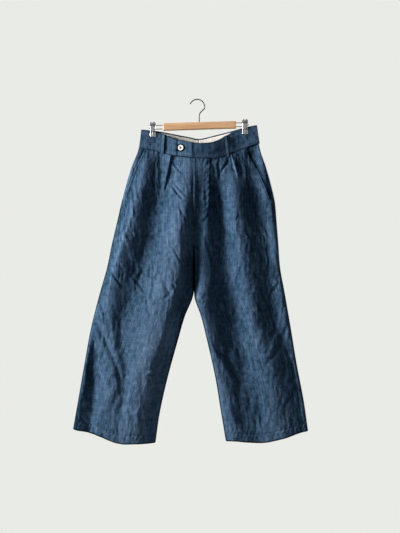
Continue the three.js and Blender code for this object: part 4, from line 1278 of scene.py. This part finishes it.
crown = HOOK["wire"] - HOOK["radius"]
arc = np.radians(np.arange(-12, 161, 4.0))
stem = HOOK["stem"]
knots = [(stem, -88), (stem, -72), (stem, -60), (stem, -52.5), (stem + 0.6, -46.5), (stem + 3.4, -40.9),
         (stem + 11, -33)]
knots += [(HOOK["radius"] * math.cos(a), crown + HOOK["radius"] * math.sin(a)) for a in arc]
knots = np.array(knots)
way = np.concatenate([[0], np.cumsum(np.hypot(*np.diff(knots, axis=0).T))])
dense = np.linspace(0, way[-1], 150)
hook_path = np.stack([along(way, knots[:, 0], dense), 0 * dense, along(way, knots[:, 1], dense)], -1)
tip = np.clip((way[-1] - dense) / 1.9, 0, 1)
hook_radius = HOOK["wire"] * np.sqrt(np.clip(1 - (1 - tip) ** 2, 0.03, 1))
join("hook_wire", [tube(hook_path, hook_radius, 18)])

# %% [markdown]
# ## Clips
# Each clip is two stamped plates with a coil spring between them. A plate is one profile, seen from
# the side, swept across its width: jaw, step, body and the flared finger end. Its width changes
# along the profile, its sides are turned in at the body, and a rib is pressed down its middle.

# %% Clip plates
CLIP = {"width": 18.5, "plate": 1.0, "outer": 3.9}
PLATE_GRID = (90, 41)  # points along a plate's profile, and from side to side
SPRING = {"turns": 7, "half": 5.6, "radius": 3.1, "wire": 0.72, "leg": 11, "pin": 1.3, "pin_half": 8.6}


def clip_plate(name, face, clip_x):
    """Middle surface of a plate: s along the profile from the jaw's lip, a from side to side."""
    jaw = (BAND_Y[face] + face * (BAND / 2 + GAP)) + face * CLIP["plate"] / 2
    stand = FACING_Y + face * (CLIP["outer"] + GAP + CLIP["plate"] / 2)
    knots = np.array([(jaw + face * 1.2, -30.4), (jaw, -29), (jaw, -23), (jaw, -17.5), (stand, -11.5),
                      (stand, -4), (stand, 4), (stand + face * 1.2, 8.5), (stand + face * 4.6, 15.4)])
    spot = np.array([0, 0.04, 0.18, 0.32, 0.47, 0.62, 0.78, 0.87, 1])
    s = np.linspace(0, 1, PLATE_GRID[0])[:, None]
    a = np.linspace(-1, 1, PLATE_GRID[1])[None, :]
    y, z = along(spot, knots[:, 0], s), along(spot, knots[:, 1], s)
    body = smoothstep(s, 0.42, 0.5) * (1 - smoothstep(s, 0.74, 0.82))
    narrow = 1 - 0.1 * bell(s - 0.4, 0.06) - 0.22 * smoothstep(s, 0.93, 1) ** 2
    sides = smoothstep(np.abs(a), 0.8, 1)
    x = a * CLIP["width"] / 2 * narrow * (1 - 0.12 * body * sides)
    rib = bell(a, 0.2) * smoothstep(s, 0.03, 0.1) * (1 - smoothstep(s, 0.42, 0.48))
    grip = np.sin(s * 150) * smoothstep(s, 0.84, 0.87) * (1 - smoothstep(s, 0.96, 1))
    y = y + face * (0.9 * rib + 0.25 * grip - 4.2 * body * sides**2)
    lobes = smoothstep(s, 0.86, 1) * 2.6 * bell(a, 0.28)
    points = np.stack(np.broadcast_arrays(x + clip_x, y, z - lobes), -1)
    wall(name, in_frame(points), CLIP["plate"], points[..., [0, 2]])


for name, (clip_x, _) in CLIPS.items():
    clip_plate(f"clip_plate_front_{name}", FRONT, clip_x)
    clip_plate(f"clip_plate_back_{name}", BACK, clip_x)
    turn = np.linspace(0, SPRING["turns"] * 2 * math.pi, SPRING["turns"] * 20)
    coil = np.stack([np.linspace(-SPRING["half"], SPRING["half"], len(turn)),
                     FACING_Y + SPRING["radius"] * np.cos(turn), SPRING["radius"] * np.sin(turn)], -1)
    legs = [np.stack([np.full(8, end * SPRING["half"]), np.full(8, FACING_Y + SPRING["radius"]),
                      np.linspace(0, SPRING["leg"], 8)], -1) for end in (-1, 1)]
    pin = np.stack([np.linspace(-SPRING["pin_half"], SPRING["pin_half"], 12), np.full(12, FACING_Y),
                    np.zeros(12)], -1)
    wires = [(coil, SPRING["wire"], 10), (pin, SPRING["pin"], 12)]
    wires += [(leg, SPRING["wire"], 10) for leg in legs]
    join(f"clip_coil_{name}", [tube(in_frame(line + np.array([clip_x, 0, 0])), radius, sides)
                               for line, radius, sides in wires])
print("hanger pieces:", [n for n in PIECES if "clip" in n or "arm" in n or "bar" in n])

# %% [markdown]
# ## Finishes
# Linen is a plain weave of uneven yarns. Seen from a step away, the single threads vanish and three
# things stay: long streaks where a yarn is thick or pale, soft blotches where washing has taken the
# dye, and a fine grain. The streaks follow the cut's own UV map, so they run down each panel and
# round the band. The blotches use Object coordinates. The tone attribute brings in the painted shade
# and painted highlights laid along seams, edges, layers and loops.

# %% Helpers for the finishes
def material(name):
    """New material: its node tree, its Principled shader, and the Object coordinates."""
    made = bpy.data.materials.new(name)
    made.use_nodes = True
    tree = made.node_tree
    tree.nodes.clear()
    shader = put(tree, "ShaderNodeBsdfPrincipled")
    put(tree, "ShaderNodeOutputMaterial", {"Surface": shader.outputs["BSDF"]})
    return made, tree, shader, put(tree, "ShaderNodeTexCoord").outputs["Object"]


def maths(tree, operation, a, b=0.0):
    """One operation on two values or sockets."""
    return put(tree, "ShaderNodeMath", {0: a, 1: b}, operation=operation).outputs[0]


def stretched_noise(tree, vector, scale, detail=2.0, roughness=0.5):
    """Noise on coordinates stretched by a scale for each axis, as a value."""
    mapped = put(tree, "ShaderNodeMapping", {"Vector": vector, "Scale": scale}).outputs[0]
    return put(tree, "ShaderNodeTexNoise", {"Vector": mapped, "Scale": 1.0, "Detail": detail,
                                            "Roughness": roughness}).outputs["Fac"]


def total(tree, terms):
    """A half, plus each value's distance from a half times its weight."""
    result = 0.5
    for value, weight in terms:
        part = maths(tree, "MULTIPLY", maths(tree, "SUBTRACT", value, 0.5), weight)
        result = maths(tree, "ADD", result, part)
    return result


# %% Woven cloth
YARN, YARN_DEPTH = 0.0011, 0.00016  # pitch and relief of the weave, in metres


def woven(name, stops, weights, crumple_depth=0.0022, sheen_tint=(0.45, 0.55, 0.7, 1), stripes=None):
    """Plain-weave cloth: streaks along both yarns, blotches and tone into a colour ramp, and a weave
    of two sines across each other into the bump."""
    made, tree, shader, place = material(name)
    cut = put(tree, "ShaderNodeUVMap", uv_map="cut").outputs[0]
    parts = put(tree, "ShaderNodeSeparateXYZ", {0: cut}).outputs
    # tone: the painted shade and painted highlights of the seams, edges, layers and loops
    tone = put(tree, "ShaderNodeAttribute", attribute_name="tone").outputs["Fac"]
    fine_warp = stretched_noise(tree, cut, (900, 30, 1))
    values = {
        "warp": stretched_noise(tree, cut, (310, 8, 1), detail=3, roughness=0.6),
        "fine_warp": fine_warp,
        "weft": stretched_noise(tree, cut, (8, 330, 1), detail=3, roughness=0.6),
        "blotch": stretched_noise(tree, place, (75, 75, 75), detail=4, roughness=0.65),
        "cloud": stretched_noise(tree, place, (9, 9, 7), detail=3),
        "tone": tone,
    }
    level = total(tree, [(values[key], weight) for key, weight in weights.items()])
    colour = ramp(tree, level, stops)
    if stripes:
        wave = maths(tree, "SINE", maths(tree, "MULTIPLY", parts[0], 2 * math.pi / stripes["pitch"]))
        line = maths(tree, "GREATER_THAN", wave, stripes["share"])
        fine = maths(tree, "SINE", maths(tree, "MULTIPLY", parts[0], 6 * math.pi / stripes["pitch"]))
        line = maths(tree, "MULTIPLY", line, maths(tree, "GREATER_THAN", fine, -0.2))
        share = maths(tree, "MULTIPLY", line, stripes["strength"])
        blend = {"Factor": share, "A": colour, "B": (*stripes["colour"], 1)}
        colour = put(tree, "ShaderNodeMix", blend, data_type="RGBA").outputs["Result"]
    yarns = [maths(tree, "SINE", maths(tree, "MULTIPLY", parts[axis], 2 * math.pi / YARN))
             for axis in (0, 1)]
    weave = maths(tree, "MULTIPLY", yarns[0], yarns[1])
    height = maths(tree, "ADD", maths(tree, "MULTIPLY", weave, 0.5), maths(tree, "MULTIPLY", fine_warp, 1.5))
    grain = put(tree, "ShaderNodeBump", {"Height": height, "Strength": 0.6,
                                         "Distance": YARN_DEPTH}).outputs[0]
    small = stretched_noise(tree, place, (140, 140, 95), detail=4, roughness=0.6)
    soft = put(tree, "ShaderNodeBump", {"Height": small, "Strength": 0.7, "Distance": crumple_depth,
                                        "Normal": grain}).outputs[0]
    feed(tree, shader, {"Base Color": colour, "Normal": soft, "Roughness": 0.9, "Specular IOR Level": 0.0,
                        "Sheen Weight": 0.015, "Sheen Roughness": 0.5, "Sheen Tint": sheen_tint})
    return made


# %% Linen, facing and thread
NAVY = [(0.0, (0.003, 0.01, 0.02)), (0.3, (0.024, 0.058, 0.104)), (0.5, (0.05, 0.099, 0.176)),
        (0.7, (0.079, 0.137, 0.23)), (1.0, (0.16, 0.225, 0.33))]
LINEN_WEIGHTS = dict(warp=0.85, fine_warp=0.5, weft=0.3, blotch=0.9, cloud=0.28, tone=1.0)
linen = woven("linen", NAVY, LINEN_WEIGHTS)

CREAM = [(0.0, (0.76, 0.7, 0.64)), (0.5, (0.96, 0.92, 0.87)), (1.0, (0.98, 0.96, 0.93))]
TICKING = dict(pitch=0.009, share=0.3, strength=0.3, colour=(0.42, 0.38, 0.38))
ticking = woven("ticking", CREAM, dict(warp=0.2, weft=0.2, blotch=0.3, tone=0.5), crumple_depth=0.0005,
                sheen_tint=(1, 1, 1, 1), stripes=TICKING)


def thread_finish(name, colour):
    """Spun thread: a fine unevenness on Object coordinates, slightly shiny."""
    made, tree, shader, place = material(name)
    twist = stretched_noise(tree, place, (2500, 2500, 2500), detail=1)
    level = ramp(tree, twist, [(0.3, tuple(c * 0.6 for c in colour)), (0.7, colour)])
    feed(tree, shader, {"Base Color": level, "Roughness": 0.6, "Specular IOR Level": 0.2})
    return made


navy_thread = thread_finish("navy_thread", (0.085, 0.15, 0.25))
dark_thread = thread_finish("dark_thread", (0.008, 0.011, 0.02))

# %% [markdown]
# ## Wood, steel and resin
# Wood is read by its grain: long thin streaks along the bar, bent a little, over a slow change from
# light to dark, under a satin varnish. Plated steel needs no pattern of its own, only a fine unevenness
# that breaks up the reflections. The button is a hard pale resin with faint clouds.

# %% Wood, steel and button
def wood_finish():
    """Grain, a broad change of colour and pores, each noise stretched along the bar, under varnish."""
    made, tree, shader, place = material("varnished_wood")
    grain = stretched_noise(tree, place, (12, 240, 420), detail=5, roughness=0.65)
    broad = stretched_noise(tree, place, (7, 40, 55))
    pores = stretched_noise(tree, place, (90, 1600, 1600))
    level = total(tree, [(grain, 0.9), (broad, 0.7), (pores, 0.25)])
    colour = ramp(tree, level, [(0.0, (0.34, 0.17, 0.08)), (0.5, (0.76, 0.45, 0.25)),
                                (1.0, (0.92, 0.65, 0.41))])
    bump = put(tree, "ShaderNodeBump", {"Height": grain, "Strength": 0.3, "Distance": 0.0003}).outputs[0]
    feed(tree, shader, {"Base Color": colour, "Normal": bump, "Roughness": 0.42, "Coat Weight": 0.25,
                        "Coat Roughness": 0.3})
    return made


def steel_finish(name, shade, smooth, dull):
    """Steel of a shade of grey, whose roughness wanders between two values."""
    made, tree, shader, place = material(name)
    wear = stretched_noise(tree, place, (210, 210, 210), detail=4, roughness=0.6)
    colour = ramp(tree, wear, [(stop, (shade * grey, shade * grey * 0.98, shade * grey * 1.01))
                               for stop, grey in ((0.3, 0.5), (0.55, 0.74), (1.0, 0.85))])
    rough = put(tree, "ShaderNodeMapRange", {"Value": wear, "To Min": smooth, "To Max": dull}).outputs[0]
    bump = put(tree, "ShaderNodeBump", {"Height": wear, "Strength": 0.15, "Distance": 0.0004}).outputs[0]
    feed(tree, shader, {"Base Color": colour, "Roughness": rough, "Normal": bump, "Metallic": 1.0})
    return made


def resin_finish():
    """Pale resin with faint clouds, fairly smooth."""
    made, tree, shader, place = material("pale_resin")
    cloud = stretched_noise(tree, place, (160, 160, 160), detail=3)
    colour = ramp(tree, cloud, [(0.3, (0.78, 0.75, 0.69)), (0.7, (0.93, 0.91, 0.87))])
    feed(tree, shader, {"Base Color": colour, "Roughness": 0.28})
    return made


wood, resin = wood_finish(), resin_finish()
steel = steel_finish("plated_steel", shade=0.95, smooth=0.2, dull=0.42)
dull_steel = steel_finish("dull_steel", shade=0.11, smooth=0.5, dull=0.64)
print("finishes:", [finish.name for finish in (linen, ticking, navy_thread, dark_thread, wood, steel,
                                               dull_steel, resin)])

# %% [markdown]
# ## Joining the frame
# Each piece gets its finish, and the part of the frame that it stands for is hidden. A table gives
# each kind of cloth piece the width and length of the rectangle that it was cut from, and what it
# hangs from.

# %% Finishes and the nodes they stand for
BANDS = ["cloth_waistband_right", "cloth_waistband_left"]
CLIP_PLATES = [f"clip_plate_{f}_{s}" for s in CLIPS for f in ("front", "back")]
CUTS = {
    # start of the piece's name: flat width and length in metres, what it hangs from
    "cloth_front": ((0.34, 0.97), BANDS), "cloth_back": ((0.33, 0.98), BANDS),
    "cloth_waistband_right": ((0.45, 0.05), CLIP_PLATES),
    "cloth_waistband_left": ((0.53, 0.05), CLIP_PLATES), "cloth_facing": ((0.19, 0.05), CLIP_PLATES),
    "cloth_pocket_right": ((0.06, 0.19), BANDS), "cloth_pocket_left": ((0.07, 0.2), BANDS),
    "cloth_fly": ((0.055, 0.23), BANDS), "cloth_loop": ((0.013, 0.07), BANDS),
}
NODE_OF = {
    "button_body": "button", "wooden_bar": "hanger_bar", "hook_wire": "hook",
    **{f"arm_wire_{s}": f"arm_{s}" for s in CLIPS},
    **{f"clip_coil_{s}": f"clip_spring_{s}" for s in CLIPS},
    **{f"clip_plate_{f}_{s}": f"clip_{f}_{s}" for s in CLIPS for f in ("front", "back")},
}
HARD = {"button_body": (resin, "button"), "wooden_bar": (wood, "bar")}
THREADS = {"stitches_right": navy_thread, "stitches_left": navy_thread, "thread_button": dark_thread}
for name, piece in PIECES.items():
    if name.startswith("cloth_"):
        node = name.removeprefix("cloth_")
        facing = node.startswith("facing")
        piece.data.materials.append(ticking if facing else linen)
        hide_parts(node)
        kind = max((key for key in CUTS if name.startswith(key)), key=len)
        (width, length), hangs_from = CUTS[kind]
    elif name in THREADS:
        piece.data.materials.append(THREADS[name])
    else:
        metal = steel if "plate" in name else dull_steel
        finish, slot = HARD.get(name, (metal, "steel"))
        piece.data.materials.append(finish)
        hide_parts(NODE_OF[name])

# %% Floor
FLOOR_Z, FLOOR_HALF, FLOOR_NEAR, FLOOR_FAR = -1.9, 3.0, -3.0, 1.4
floor_mesh = bpy.data.meshes.new("floor")
floor_mesh.from_pydata([(-FLOOR_HALF, FLOOR_NEAR, FLOOR_Z), (FLOOR_HALF, FLOOR_NEAR, FLOOR_Z),
                        (FLOOR_HALF, FLOOR_FAR, FLOOR_Z), (-FLOOR_HALF, FLOOR_FAR, FLOOR_Z)],
                       [], [(0, 1, 2, 3)])
floor = in_scene("floor", floor_mesh)
floor_finish, floor_tree, floor_shader, _ = material("floor")
feed(floor_tree, floor_shader, {"Base Color": (0.36, 0.36, 0.35, 1), "Roughness": 0.8})
floor.data.materials.append(floor_finish)
